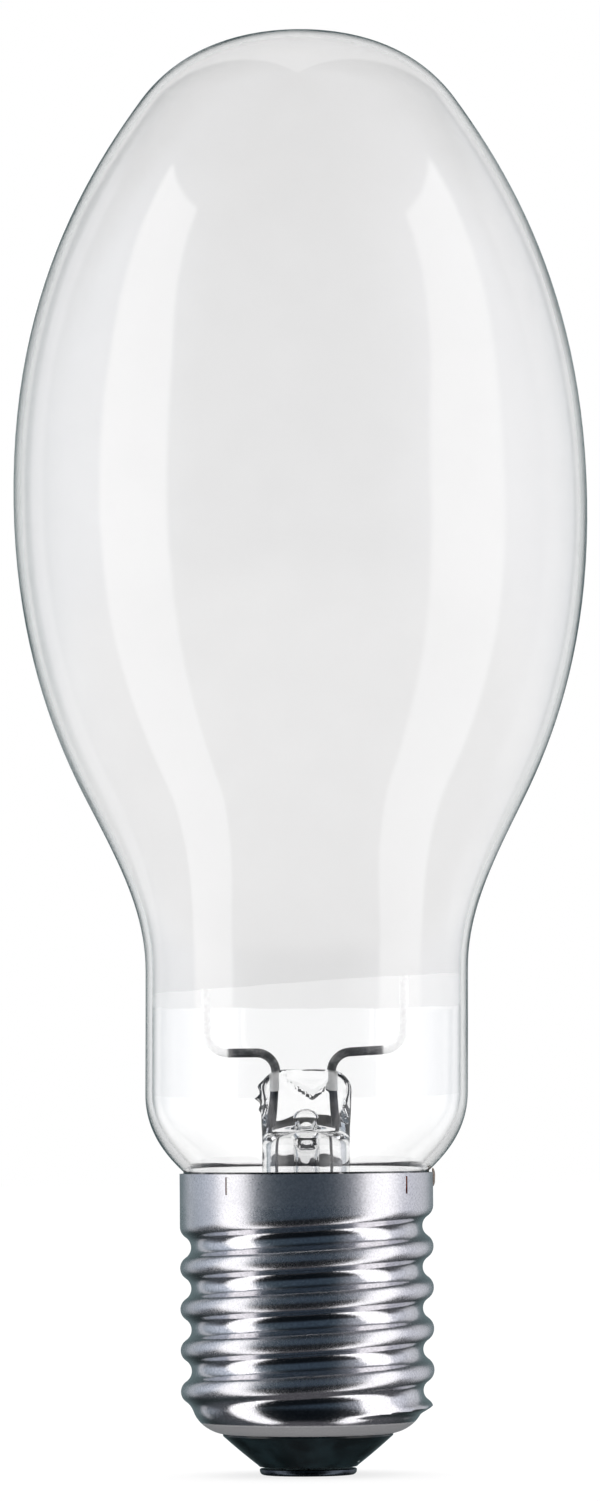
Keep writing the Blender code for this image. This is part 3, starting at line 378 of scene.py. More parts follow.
def bulb_outline(sizes):
    """The bulb's outside, from the crown's tip down to where it enters the cap."""
    tip_count, side_count, belly_count, waist_count, neck_count, shoulder_count = BULB_COUNTS
    widest = neck_top(sizes) + sizes.belly_height
    crown_height = BULB_HIGH.z - widest
    radius = sizes.bulb_radius
    knee = Vector((CROWN_KNEE[0] * radius, widest + CROWN_KNEE[1] * crown_height))
    out = Vector((math.cos(CROWN_SLOPE), -math.sin(CROWN_SLOPE)))
    tip_pull, knee_in, knee_out, side_pull = CROWN_PULLS
    top = (0, BULB_HIGH.z)
    points = curve_between(
        top, (tip_pull * radius, BULB_HIGH.z), knee - out * knee_in * radius, knee, tip_count
    )
    side = (radius, widest)
    points += curve_between(
        knee,
        knee + out * knee_out * crown_height,
        (radius, widest + side_pull * crown_height),
        side,
        side_count,
    )
    waist = Vector(
        (
            sizes.neck_radius + BELLY_KNEE[0] * (radius - sizes.neck_radius),
            neck_top(sizes) + BELLY_KNEE[1] * sizes.belly_height,
        )
    )
    down = Vector((-math.cos(BELLY_SLOPE), -math.sin(BELLY_SLOPE)))
    side_down, waist_in, waist_out, neck_pull = BELLY_PULLS
    points += curve_between(
        side,
        (radius, widest - side_down * sizes.belly_height),
        waist - down * waist_in * sizes.belly_height,
        waist,
        belly_count,
    )
    neck = (sizes.neck_radius, neck_top(sizes))
    points += curve_between(
        waist,
        waist + down * waist_out * sizes.belly_height,
        (sizes.neck_radius, neck[1] + neck_pull * sizes.belly_height),
        neck,
        waist_count,
    )
    foot = (sizes.neck_radius, RIM + sizes.shoulder_height)
    points += straight(neck, foot, neck_count)
    mouth = Vector((SHELL_HIGH.x - sizes.sheet - SEAT, RIM + SEAT))
    inward = Vector((-math.cos(SHOULDER_SLOPE), -math.sin(SHOULDER_SLOPE)))
    neck_down, mouth_pull = SHOULDER_PULLS
    points += curve_between(
        foot,
        (sizes.neck_radius, foot[1] - neck_down * sizes.shoulder_height),
        mouth - inward * mouth_pull * sizes.shoulder_height,
        mouth,
        shoulder_count,
    )
    return points + [tuple(mouth)]


def let_drift(piece):
    """Lets a blown piece wander off the lamp's axis a little, as a bulb does that was shaped by hand."""
    for vertex in piece.data.vertices:
        share_up = max(vertex.co.z - RIM, 0.0) / (BULB_HIGH.z - RIM)
        vertex.co.x += DRIFT * math.sin(math.tau * share_up)


def powder_edge(sizes, angle):
    """Height of the coating's lower edge, a little uneven and lower round the back."""
    front = smooth_step(-math.sin(angle) / 0.35)
    rise = sizes.powder_front - sizes.powder_back + sizes.powder_tilt * math.cos(angle)
    ragged = noise.noise(Vector((math.cos(angle), math.sin(angle), 0.3)) * 3.1) * 0.25 * MM
    ragged += noise.noise(Vector((math.cos(angle), math.sin(angle), 0.7)) * 14) * 0.07 * MM
    return RIM + sizes.powder_back + front * rise + ragged


def groove_depth(from_crest, pitch, depth):
    """Depth of the rolled thread at a distance from its crest: two arcs that meet in a slope."""
    quarter = pitch / 4
    arc = (quarter**2 + (depth / 2) ** 2) / depth
    if from_crest <= quarter:
        return arc - math.sqrt(arc**2 - from_crest**2)
    return depth - arc + math.sqrt(arc**2 - (2 * quarter - from_crest) ** 2)


def shell_radius(sizes, height, angle):
    """Outside radius of the rolled sheet, with the thread run out into the collar and the bell."""
    pitch = sizes.thread_pitch
    collar = SHELL_HIGH.x
    root = collar - sizes.thread_depth
    crest = sizes.crest_height + pitch * angle / math.tau
    turns = (height - crest) / pitch
    from_crest = abs(turns - round(turns)) * pitch
    groove = crest + (math.floor(turns) + 0.5) * pitch
    ridge = crest + round(turns) * pitch
    groove_share = smooth_step((RIM - GROOVE_RUN[1] - groove) / (GROOVE_RUN[0] - GROOVE_RUN[1]))
    ridge_share = smooth_step((ridge - BELL_HEIGHT - RIDGE_RUN[1]) / (RIDGE_RUN[0] - RIDGE_RUN[1]))
    threaded = collar - groove_depth(from_crest, pitch, sizes.thread_depth) * groove_share
    bell = bell_radius(sizes, height)
    threaded = bell + (threaded - root) * ridge_share
    return min(threaded, bell + max(height - BELL_CORNER, 0.0) * 1.3)


def bell_radius(sizes, height):
    """Outside radius of the bell, which turns in ever more steeply down to the lip."""
    reach = SHELL_HIGH.x - sizes.thread_depth - LIP_RADIUS
    down = min(max((BELL_TOP - height) / (BELL_TOP - SHELL_LOW.z), 0.0), 1.0)
    return LIP_RADIUS + reach * (1 - down**2.2) ** 0.62


def bell_curve(sizes, count):
    """The bell's outside below the thread, down to the lip."""
    drop = BELL_TOP - SHELL_LOW.z
    first = math.asin((BELL_TOP - BELL_HEIGHT) / drop)
    outline = []
    for step in range(count + 1):
        height = BELL_TOP - drop * math.sin(first + (math.pi / 2 - first) * step / count)
        outline.append((bell_radius(sizes, height), height))
    return outline


def add_box(name, low, high):
    deselect()
    low = Vector(low)
    high = Vector(high)
    bpy.ops.mesh.primitive_cube_add(size=1, location=(low + high) / 2, scale=high - low)
    return name_new(name)


def bend_wire(name, corners, radius, bend_radius, sides=20, bend_steps=12):
    """A round wire in the plane of the wire frame, drawn straight between corners and bent round each."""
    corners = [Vector((x, 0, z)) for x, z in corners]
    deselect()
    first = (corners[1] - corners[0]).normalized()
    turned = first.to_track_quat("Z", "Y").to_euler()
    bpy.ops.mesh.primitive_circle_add(vertices=sides, radius=radius, location=corners[0], rotation=turned)
    piece = name_new(name)
    bpy.ops.object.mode_set(mode="EDIT")
    bpy.ops.mesh.select_all(action="SELECT")
    spot = corners[0]
    for before, corner, after in zip(corners, corners[1:], corners[2:]):
        back = (before - corner).normalized()
        ahead = (after - corner).normalized()
        half = back.angle(ahead) / 2
        most = min((before - corner).length, (after - corner).length) * 0.49
        reach = min(bend_radius / math.tan(half), most)
        centre = corner + (back + ahead).normalized() * reach / math.cos(half)
        start = corner + back * reach
        bpy.ops.mesh.extrude_region_move(TRANSFORM_OT_translate={"value": start - spot})
        axis = (-back).cross(ahead).normalized()
        bpy.ops.mesh.spin(steps=bend_steps, angle=-(math.pi - 2 * half), center=centre, axis=axis)
        spot = corner + ahead * reach
    bpy.ops.mesh.extrude_region_move(TRANSFORM_OT_translate={"value": corners[-1] - spot})
    bpy.ops.mesh.select_all(action="SELECT")
    bpy.ops.mesh.remove_doubles(threshold=WELD)
    bpy.ops.mesh.fill_holes(sides=0)
    face_outwards()
    shade(piece, 50)
    return piece


class Nodes:
    """A node tree that is written from left to right."""

    def __init__(self, tree):
        self.tree = tree
        self.tree.nodes.clear()

    def add(self, kind, inputs=None, **settings):
        """A node of a kind. Its inputs are plain values or other nodes' outputs."""
        node = self.tree.nodes.new(kind)
        for key, value in settings.items():
            setattr(node, key, value)
        for key, value in (inputs or {}).items():
            self.set(node.inputs[key], value)
        return node

    def set(self, socket, value):
        if isinstance(value, bpy.types.NodeSocket):
            self.tree.links.new(value, socket)
        else:
            socket.default_value = value

    def math(self, operation, *values):
        return self.add("ShaderNodeMath", dict(enumerate(values)), operation=operation).outputs[0]

    def product(self, *values):
        result = values[0]
        for value in values[1:]:
            result = self.math("MULTIPLY", result, value)
        return result

    def ease(self, value, low, high, start=0.0, end=1.0):
        """Runs smoothly from start, at or below low, to end, at or above high."""
        inputs = {"Value": value, "From Min": low, "From Max": high, "To Min": start, "To Max": end}
        return self.add("ShaderNodeMapRange", inputs, interpolation_type="SMOOTHSTEP").outputs[0]

    def mix(self, factor, first, second):
        """A colour between two."""
        node = self.add("ShaderNodeMix", data_type="RGBA")
        self.set(node.inputs["Factor"], factor)
        self.set(node.inputs[6], first)
        self.set(node.inputs[7], second)
        return node.outputs[2]

    def grain(self, scale, detail=2.0, roughness=0.5, stretch=(1, 1, 1)):
        """Noise from 0 to 1 in the piece's own coordinates."""
        where = self.add("ShaderNodeTexCoord").outputs["Object"]
        if stretch != (1, 1, 1):
            where = self.add("ShaderNodeMapping", {"Vector": where, "Scale": stretch}).outputs[0]
        inputs = {"Vector": where, "Scale": scale, "Detail": detail, "Roughness": roughness}
        return self.add("ShaderNodeTexNoise", inputs).outputs["Fac"]

    def bump(self, height, strength, distance, normal=None):
        inputs = {"Height": height, "Strength": strength, "Distance": distance}
        if normal is not None:
            inputs["Normal"] = normal
        return self.add("ShaderNodeBump", inputs).outputs[0]

    def grey(self, value):
        """A colour from one value."""
        return self.add("ShaderNodeCombineXYZ", {"X": value, "Y": value, "Z": value}).outputs[0]

    def principled(self, **inputs):
        names = {key.replace("_", " "): value for key, value in inputs.items()}
        return self.add("ShaderNodeBsdfPrincipled", names)

    def surface(self, shader):
        self.add("ShaderNodeOutputMaterial", {"Surface": shader})


def new_finish(name):
    material = bpy.data.materials.new(name)
    material.use_nodes = True
    return material, Nodes(material.node_tree)


def rgba(tone):
    return (*tone, 1.0)


def scaled(tone, factor):
    return (*(min(channel * factor, 1.0) for channel in tone), 1.0)


def clear_glass(name, tint, edge, waviness):
    """Clear blown or pressed glass, with painted shade that darkens it where it is seen edge-on, and with
    faint waves from the drawing.
    """
    material, nodes = new_finish(name)
    facing = nodes.add("ShaderNodeLayerWeight", {"Blend": 0.5}).outputs["Facing"]
    # Painted shade: the glass is darkened where it is seen edge-on.
    edge_shade_mask = nodes.ease(facing, 0.74, 0.92)
    waves = nodes.grain(70, 1.5, 0.4, (1, 1, 0.35))
    fine = nodes.grain(900, 2.0, 0.6)
    shape = nodes.bump(waves, waviness, 1.0 * MM)
    shape = nodes.bump(fine, 0.02, 0.02 * MM, shape)
    glass = nodes.principled(
        Base_Color=nodes.mix(edge_shade_mask, rgba(tint), rgba(edge)),
        Roughness=0.0,
        IOR=1.5,
        Transmission_Weight=1.0,
        Normal=shape,
    )
    path = nodes.add("ShaderNodeLightPath").outputs
    soft = nodes.math("MAXIMUM", path["Is Shadow Ray"], path["Is Diffuse Ray"])
    clear = nodes.add("ShaderNodeBsdfTransparent", {"Color": rgba((0.963, 0.963, 0.963))})
    mixed = nodes.add("ShaderNodeMixShader", {0: soft, 1: glass.outputs[0], 2: clear.outputs[0]})
    nodes.surface(mixed.outputs[0])
    return material


def white_powder(tone):
    """Fine white powder that lets most of the light through, with a soft mottle from its uneven
    thickness. Only the face that light meets first scatters it, so the layer's thickness counts once."""
    material, nodes = new_finish("white_powder")
    mottle = nodes.grain(160, 3.0, 0.55)
    specks = nodes.grain(5200, 2.0, 0.7)
    base = nodes.mix(nodes.ease(mottle, 0.3, 0.7), scaled(tone, 0.991), scaled(tone, 1.007))
    base = nodes.mix(nodes.ease(specks, 0.42, 0.7, 0.0, 0.35), base, scaled(tone, 0.955))
    coat = nodes.principled(
        Base_Color=base,
        Roughness=0.95,
        Specular_IOR_Level=0.15,
        Normal=nodes.bump(specks, 0.25, 0.03 * MM),
    )
    through = nodes.add("ShaderNodeBsdfTranslucent", {"Color": base})
    layer = nodes.add("ShaderNodeMixShader", {0: 0.8, 1: coat.outputs[0], 2: through.outputs[0]})
    far_face = nodes.add("ShaderNodeNewGeometry").outputs["Backfacing"]
    clear = nodes.add("ShaderNodeBsdfTransparent")
    mixed = nodes.add("ShaderNodeMixShader", {0: far_face, 1: layer.outputs[0], 2: clear.outputs[0]})
    nodes.surface(mixed.outputs[0])
    return material


def nickel_plate(finishes):
    """Rolled and plated sheet: fine grain, lines along the rolling, and a faint uneven tarnish."""
    material, nodes = new_finish("nickel_plate")
    tone = finishes.nickel
    where = nodes.add("ShaderNodeTexCoord").outputs["Object"]
    axes = nodes.add("ShaderNodeSeparateXYZ", {"Vector": where}).outputs
    height = axes["Z"]
    flat = nodes.add("ShaderNodeCombineXYZ", {"X": axes["X"], "Y": axes["Y"]}).outputs[0]
    radius = nodes.add("ShaderNodeVectorMath", {0: flat}, operation="LENGTH").outputs["Value"]
    collar = nodes.ease(height, *COLLAR_FROM)
    crest = nodes.product(nodes.ease(radius, *CREST_FROM), nodes.math("SUBTRACT", 1.0, collar))
    grain = nodes.grain(3000, 3.0, 0.7)
    lines = nodes.grain(260, 2.0, 0.6, (1, 1, 14))
    patches = nodes.grain(95, 4.0, 0.6)
    stains = nodes.grain(28, 5.0, 0.65)
    base = nodes.mix(nodes.ease(grain, 0.35, 0.7), scaled(tone, 0.84), scaled(tone, 1.10))
    base = nodes.mix(nodes.ease(patches, 0.48, 0.75, 0.0, 0.4), base, scaled(tone, 0.82))
    base = nodes.mix(nodes.ease(stains, 0.55, 0.75, 0.0, 0.3), base, rgba((0.52, 0.50, 0.53)))
    rough = finishes.nickel_roughness
    lip = nodes.ease(height, *MATT_LIP, 1.0, 0.0)
    base = nodes.mix(nodes.product(lip, 0.8), base, rgba((0.13, 0.13, 0.135)))
    blur = nodes.ease(grain, 0.3, 0.8, rough - 0.03, rough + 0.04)
    blur = nodes.math("ADD", blur, nodes.ease(patches, 0.4, 0.8, 0.0, 0.05))
    blur = nodes.math("ADD", blur, nodes.product(collar, 0.16))
    blur = nodes.math("ADD", blur, nodes.product(lip, 0.22))
    blur = nodes.math("ADD", blur, nodes.product(crest, 0.12))
    shape = nodes.bump(lines, 0.10, 0.05 * MM)
    shape = nodes.bump(grain, 0.3, 0.03 * MM, shape)
    plated = nodes.math("SUBTRACT", 1.0, nodes.product(lip, 0.75))
    metal = nodes.principled(Base_Color=base, Metallic=plated, Roughness=blur, Normal=shape)
    nodes.surface(metal.outputs[0])
    return material


def plain_metal(name, tone, roughness, grain_scale=2600, depth=0.04 * MM, metallic=1.0):
    """A dull metal with fine pits and a cloudy tone."""
    material, nodes = new_finish(name)
    grain = nodes.grain(grain_scale, 3.0, 0.65)
    clouds = nodes.grain(420, 3.0, 0.6)
    base = nodes.mix(nodes.ease(clouds, 0.35, 0.7), scaled(tone, 0.78), scaled(tone, 1.18))
    blur = nodes.ease(grain, 0.3, 0.75, roughness - 0.07, roughness + 0.1)
    metal = nodes.principled(
        Base_Color=base, Metallic=metallic, Roughness=blur, Normal=nodes.bump(grain, 0.35, depth)
    )
    nodes.surface(metal.outputs[0])
    return material


def black_glass(tone):
    """Opaque moulded glass with flow waves, tiny bubbles and a few pale specks."""
    material, nodes = new_finish("black_glass")
    where = nodes.add("ShaderNodeTexCoord").outputs["Object"]
    cells = nodes.add("ShaderNodeTexVoronoi", {"Vector": where, "Scale": 520.0})
    rare = nodes.ease(nodes.grain(150, 2.0, 0.6), 0.56, 0.64)
    speck = nodes.product(nodes.ease(cells.outputs["Distance"], 0.16, 0.05), rare)
    waves = nodes.grain(240, 2.0, 0.5)
    fine = nodes.grain(1700, 3.0, 0.6)
    base = nodes.mix(nodes.ease(waves, 0.35, 0.7), scaled(tone, 0.7), scaled(tone, 2.2))
    base = nodes.mix(speck, base, rgba((0.42, 0.47, 0.47)))
    shape = nodes.bump(waves, 0.35, 0.3 * MM)
    shape = nodes.bump(fine, 0.2, 0.05 * MM, shape)
    glass = nodes.principled(
        Base_Color=base, Roughness=nodes.ease(fine, 0.3, 0.7, 0.10, 0.22), IOR=1.42, Normal=shape
    )
    nodes.surface(glass.outputs[0])
    return material


def rod_metal(finishes, glint_from, glass_top):
    """Nickel wire, dark near the press; its pale tone on the outer lengths is a painted reflection of the
    bright strip, and the same pale tone is laid where it is sunk into its glass.
    """
    material, nodes = new_finish("grey_wire")
    where = nodes.add("ShaderNodeTexCoord").outputs["Object"]
    spot = nodes.add("ShaderNodeSeparateXYZ", {"Vector": where})
    out = nodes.math("ABSOLUTE", spot.outputs["X"])
    # Painted reflection: the rods turn pale and less metallic where the bright strip is reflected over
    # them.
    strip_glint_mask = nodes.ease(out, glint_from - 0.2 * MM, glint_from + 0.4 * MM)
    sunk = nodes.ease(spot.outputs["Z"], glass_top - 0.9 * MM, glass_top - 0.1 * MM, 0.75, 0.0)
    grain = nodes.grain(2400, 3.0, 0.65)
    clouds = nodes.grain(500, 3.0, 0.6)
    dark_wire = finishes.dark_wire
    wire = finishes.wire
    dark = nodes.mix(nodes.ease(clouds, 0.35, 0.7), scaled(dark_wire, 0.7), scaled(dark_wire, 2.4))
    pale = nodes.mix(nodes.ease(grain, 0.3, 0.75), scaled(wire, 0.92), scaled(wire, 1.08))
    metal = nodes.principled(
        Base_Color=nodes.mix(nodes.math("MAXIMUM", strip_glint_mask, sunk), dark, pale),
        Metallic=nodes.ease(out, glint_from - 0.2 * MM, glint_from + 0.4 * MM, 0.6, 0.1),
        Roughness=nodes.ease(grain, 0.3, 0.8, 0.38, 0.55),
        Normal=nodes.bump(grain, 0.3, 0.03 * MM),
    )
    nodes.surface(metal.outputs[0])
    return material


class LAMP_OT_blow_bulb(bpy.types.Operator):
    """Blows the glass bulb with its wall, from the crown to the sleeve inside the cap"""

    bl_idname = "lamp.blow_bulb"
    bl_label = "Blow the bulb"

    def execute(self, context):
        sizes = context.scene.lamp_sizes
        finishes = context.scene.lamp_finishes
        outside = bulb_outline(sizes)
        land = outside[-1][0]
        sleeve = land - SLEEVE_STEP
        taper_top = RIM - TAPER_TOP
        taper_foot = taper_top - SLEEVE_STEP / math.tan(TAPER_SLOPE)

        def wall(height):
            thicker = smooth_step((RIM + sizes.shoulder_height - height) / sizes.shoulder_height)
            return sizes.bulb_wall + SHOULDER_WALL * thicker

        inside = inset(outside, wall)
        in_cap = [(land, taper_top), (sleeve, taper_foot), (sleeve, BULB_LOW.z)]
        inside_cap = [(sleeve - sizes.bulb_wall, BULB_LOW.z), (sleeve - sizes.bulb_wall, taper_foot)]
        piece = turn("blown_bulb", outside + in_cap + inside_cap + inside[::-1], BULB_TURNS)
        let_drift(piece)
        shade(piece, 30)
        glass = clear_glass("clear_glass", finishes.glass, finishes.glass_edge_shade, 0.06)
        fit(piece, "outer_bulb", glass)
        return {"FINISHED"}


class LAMP_OT_coat_bulb(bpy.types.Operator):
    """Lays the white powder on the inside of the bulb, down to its uneven edge in the neck"""

    bl_idname = "lamp.coat_bulb"
    bl_label = "Coat the bulb"

    def execute(self, context):
        sizes = context.scene.lamp_sizes
        low = RIM + sizes.powder_back
        top = neck_top(sizes)
        outside = bulb_outline(sizes)
        kept = [point for point in outside if point[1] > top]
        kept += straight((sizes.neck_radius, top), (sizes.neck_radius, low), POWDER_ROWS)
        kept.append((sizes.neck_radius, low))
        gap = sizes.bulb_wall + sizes.powder_gap
        outer = inset(kept, gap)
        inner = inset(kept, gap + sizes.powder)
        piece = turn("powder_coating", outer + inner[::-1], BULB_TURNS)
        for vertex in piece.data.vertices:
            if vertex.co.z < top - WELD:
                edge = powder_edge(sizes, math.atan2(vertex.co.y, vertex.co.x))
                vertex.co.z = top - (top - vertex.co.z) * (top - edge) / (top - low)
        let_drift(piece)
        shade(piece, 30)
        fit(piece, "diffuse_coating", white_powder(context.scene.lamp_finishes.powder))
        return {"FINISHED"}


class LAMP_OT_roll_cap(bpy.types.Operator):
    """Rolls the cap's sheet, with collar, thread, bell and lip, and cuts its slits and its notch"""

    bl_idname = "lamp.roll_cap"
    bl_label = "Roll the cap"

    def execute(self, context):
        sizes = context.scene.lamp_sizes
        finishes = context.scene.lamp_finishes
        rows = round((RIM - BELL_HEIGHT) / SHELL_ROW)
        outline = straight((SHELL_HIGH.x, RIM), (SHELL_HIGH.x, BELL_HEIGHT), rows)
        outline += bell_curve(sizes, 14)
        piece = turn("rolled_cap", outline, SHELL_TURNS)
        for vertex in piece.data.vertices:
            if vertex.co.z > BELL_HEIGHT + WELD:
                angle = math.atan2(vertex.co.y, vertex.co.x)
                vertex.co.xy = vertex.co.xy.normalized() * shell_radius(sizes, vertex.co.z, angle)
        middle = piece.data.polygons[0]
        if middle.normal.xy.dot(middle.center.xy) < 0:
            raise RuntimeError("the cap's sheet faces inwards")
        apply_modifier(piece, "SOLIDIFY", thickness=sizes.sheet, offset=-1.0)
        brass = plain_metal("bare_brass", finishes.bare_brass, CUT_EDGE_ROUGHNESS)
        near = SHELL_HIGH.x - sizes.sheet - CUT_CLEAR
        far = SHELL_HIGH.x + CUT_CLEAR
        piece.data.materials.append(nickel_plate(finishes))
        width, depth, below = SLIT
        cutter = add_box("slit", (near, -width / 2, RIM - below - depth), (far, width / 2, RIM - below))
        cutter.data.materials.append(brass)
        bpy.ops.object.mode_set(mode="EDIT")
        bpy.ops.mesh.select_all(action="SELECT")
        turned = {"orient_axis": "Z", "orient_type": "GLOBAL", "center_override": (0, 0, 0)}
        bpy.ops.transform.rotate(value=-SLIT_TURN - math.pi / SLIT_COUNT, **turned)
        for _ in range(SLIT_COUNT - 1):
            bpy.ops.mesh.duplicate()
            bpy.ops.transform.rotate(value=math.tau / SLIT_COUNT, **turned)
        bpy.ops.mesh.select_all(action="DESELECT")
        width, depth = NOTCH
        low = Vector((near, -width / 2, RIM - depth))
        high = Vector((far, width / 2, RIM + CUT_CLEAR))
        bpy.ops.mesh.primitive_cube_add(size=1, location=(low + high) / 2, scale=high - low)
        bpy.ops.object.mode_set(mode="OBJECT")
        cut = {"operation": "DIFFERENCE", "solver": "EXACT", "material_mode": "TRANSFER"}
        apply_modifier(piece, "BOOLEAN", object=cutter, **cut)
        bpy.data.objects.remove(cutter)
        shade(piece, 40)
        stand_for(piece, "screw_shell")
        return {"FINISHED"}


class LAMP_OT_mould_insulator(bpy.types.Operator):
    """Moulds the black glass between the cap's lip and the centre contact"""

    bl_idname = "lamp.mould_insulator"
    bl_label = "Mould the insulator"

    def execute(self, context):
        sizes = context.scene.lamp_sizes
        finishes = context.scene.lamp_finishes
        seat = inset(bell_curve(sizes, 8), sizes.sheet + GLASS_GAP)
        waist = LIP_RADIUS - GLASS_GAP
        cone_top = SHELL_LOW.z - GLASS_GAP
        cone_start = (LIP_RADIUS + CONE_EDGE, cone_top - CONE_EDGE)
        cone_end = (CONTACT_HIGH.x + CONE_EDGE, INSULATOR_LOW.z + CONE_FOOT)
        outline = [(GLASS_BORE, INSULATOR_HIGH.z), (seat[0][0], INSULATOR_HIGH.z)]
        outline += seat[:-1] + [(waist, seat[-1][1]), (waist, cone_top), (cone_start[0], cone_top)]
        for row, (radius, height) in enumerate(straight(cone_start, cone_end, CONE_ROWS)):
            swell = CONE_SWELL * math.sin(math.pi * row / CONE_ROWS)
            outline.append((radius + swell, height))
        outline += [cone_end, (CONTACT_HIGH.x + GLASS_GAP, INSULATOR_LOW.z), (GLASS_BORE, INSULATOR_LOW.z)]
        piece = turn("moulded_insulator", outline + [outline[0]], BASE_TURNS)
        shade(piece, 35)
        fit(piece, "contact_insulator", black_glass(finishes.black_glass))
        return {"FINISHED"}


class LAMP_OT_fit_contact(bpy.types.Operator):
    """Fits the centre contact and lays the solder drops on it and on the collar's edge"""

    bl_idname = "lamp.fit_contact"
    bl_label = "Fit the contact and the solder"

    def execute(self, context):
        finishes = context.scene.lamp_finishes
        thick = CONTACT_HIGH.z
        wide = CONTACT_HIGH.x
        across, down = PLATE_BEVEL
        outline = [(PLATE_BORE, thick), (wide - across, thick), (wide, thick - down)]
        outline += quarter_round((wide - PLATE_ROUND, PLATE_ROUND), PLATE_ROUND, -PLATE_ROUND, 10)
        dimple = DROP_HIGH.x + SEAT
        floor = DROP_HIGH.z + SEAT
        outline += [(dimple + out, height) for out, height in DIMPLE_LIP]
        outline += [(dimple, floor), (PLATE_BORE, floor), (PLATE_BORE, thick)]
        plate = turn("contact_plate", outline, BASE_TURNS)
        shade(plate, 35)
        # The plate's near-black tone is painted shade.
        metal = plain_metal("dark_contact", finishes.contact, 0.27)
        fit(plate, "centre_contact", metal)

        solder = plain_metal("soft_solder", finishes.solder, 0.36, 1500, 0.09 * MM)
        radius = dimple - DROP_GAP
        top = floor - DROP_GAP
        outline = [(0, top), (radius, top)] + quarter_round((0, DROP_SIDE), radius, -DROP_DOME, 12)
        drop = turn("contact_drop", outline, DROP_TURNS)
        for vertex in drop.data.vertices:
            vertex.co.z += noise.noise(vertex.co * 900) * 0.035 * MM
            vertex.co.z = max(vertex.co.z, 0.0)
        shade(drop, 50)
        fit(drop, "contact_solder", solder)

        low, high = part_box("rim_solder")
        face = SHELL_HIGH.x - RIM_DROP_SINK
        deselect()
        middle = (face, 0, (low.z + high.z) / 2)
        size = (1.1 * (high.x - face), high.y - low.y, high.z - low.z)
        bpy.ops.mesh.primitive_uv_sphere_add(
            segments=48, ring_count=32, radius=0.5, location=middle, scale=size
        )
        blob = name_new("rim_drop")
        for vertex in blob.data.vertices:
            lumps = noise.noise(vertex.co * 700) * 0.10 + noise.noise(vertex.co * 1900) * 0.04
            vertex.co += vertex.normal * lumps * 0.9 * MM
        bpy.ops.object.mode_set(mode="EDIT")
        bpy.ops.mesh.select_all(action="SELECT")
        bpy.ops.mesh.bisect(plane_co=(face, 0, 0), plane_no=(-1, 0, 0), use_fill=True, clear_outer=True)
        face_outwards()
        shade(blob, 60)
        fit(blob, "rim_solder", solder)
        return {"FINISHED"}


# The stem and its exhaust tube.
STEM_TURNS = 176
PRESS_START = 1.0 * MM  # above the rim, where the tube starts to flatten
PRESS_FULL = 13.0 * MM  # above the rim, where it is flat
PRESS_SOLID = 11.0 * MM  # above the rim, from where every point is on the outside
PRESS_CORNER = 3.4 * MM
RING_TOP = 5.9 * MM  # above the rim, where the exhaust tube joins the stem
RING_ROUND = (1.6 * MM, 2.4 * MM)  # width and height
BORE_TOP = 9.2 * MM  # above the rim
BORE_DOME = 1.7 * MM
FLARE_HEIGHT = 9.5 * MM
FLARE_EDGE = 1.2 * MM
FLARE_PULLS = (0.42, 0.32, 0.6)
TUBE_TURNS = 72
TUBE_ROWS = 60
TUBE_WALL = 0.7 * MM
TUBE_END = 4.0 * MM  # length of the tip that is melted shut
BLOW_HOLE = (50.8 * MM, 1.5 * MM, 2.4 * MM)  # height of its middle, half its height and half its width

# The mark of the press jaws, as points across and up, and the folds on the stem's left side.
CREASE = ((-3.0 * MM, 60.9 * MM), (1.0 * MM, 58.3 * MM), (3.0 * MM, 59.8 * MM))
CREASE_WIDTH = 0.42 * MM
CREASE_DEPTH = 0.75 * MM
FOLDS = ((60.0, 1.1, 0.55), (57.9, 0.9, 0.85), (56.0, 0.8, 0.4))  # height, half height and reach in mm
FOLD_SIDE = 5.2 * MM  # how far from the axis they start

# The wires.
RIGHT_WIRE_IN = 0.6 * MM  # how much nearer the axis the right wire was sealed than the left one
ROD_LEVEL = 2.6 * MM  # above the stem, where the rods run level
ROD_BEND = 3.4 * MM
ROD_GLINT_FROM = 11.9 * MM  # from the axis, where the rods' painted reflection of the bright strip starts
WIRE_GAP = 0.02 * MM
LEAD_OUT = 16.85 * MM  # from the axis, where the side lead rises between the sheet and the glass
LEAD_TAPER = 42.9 * MM  # height where it starts to lean out


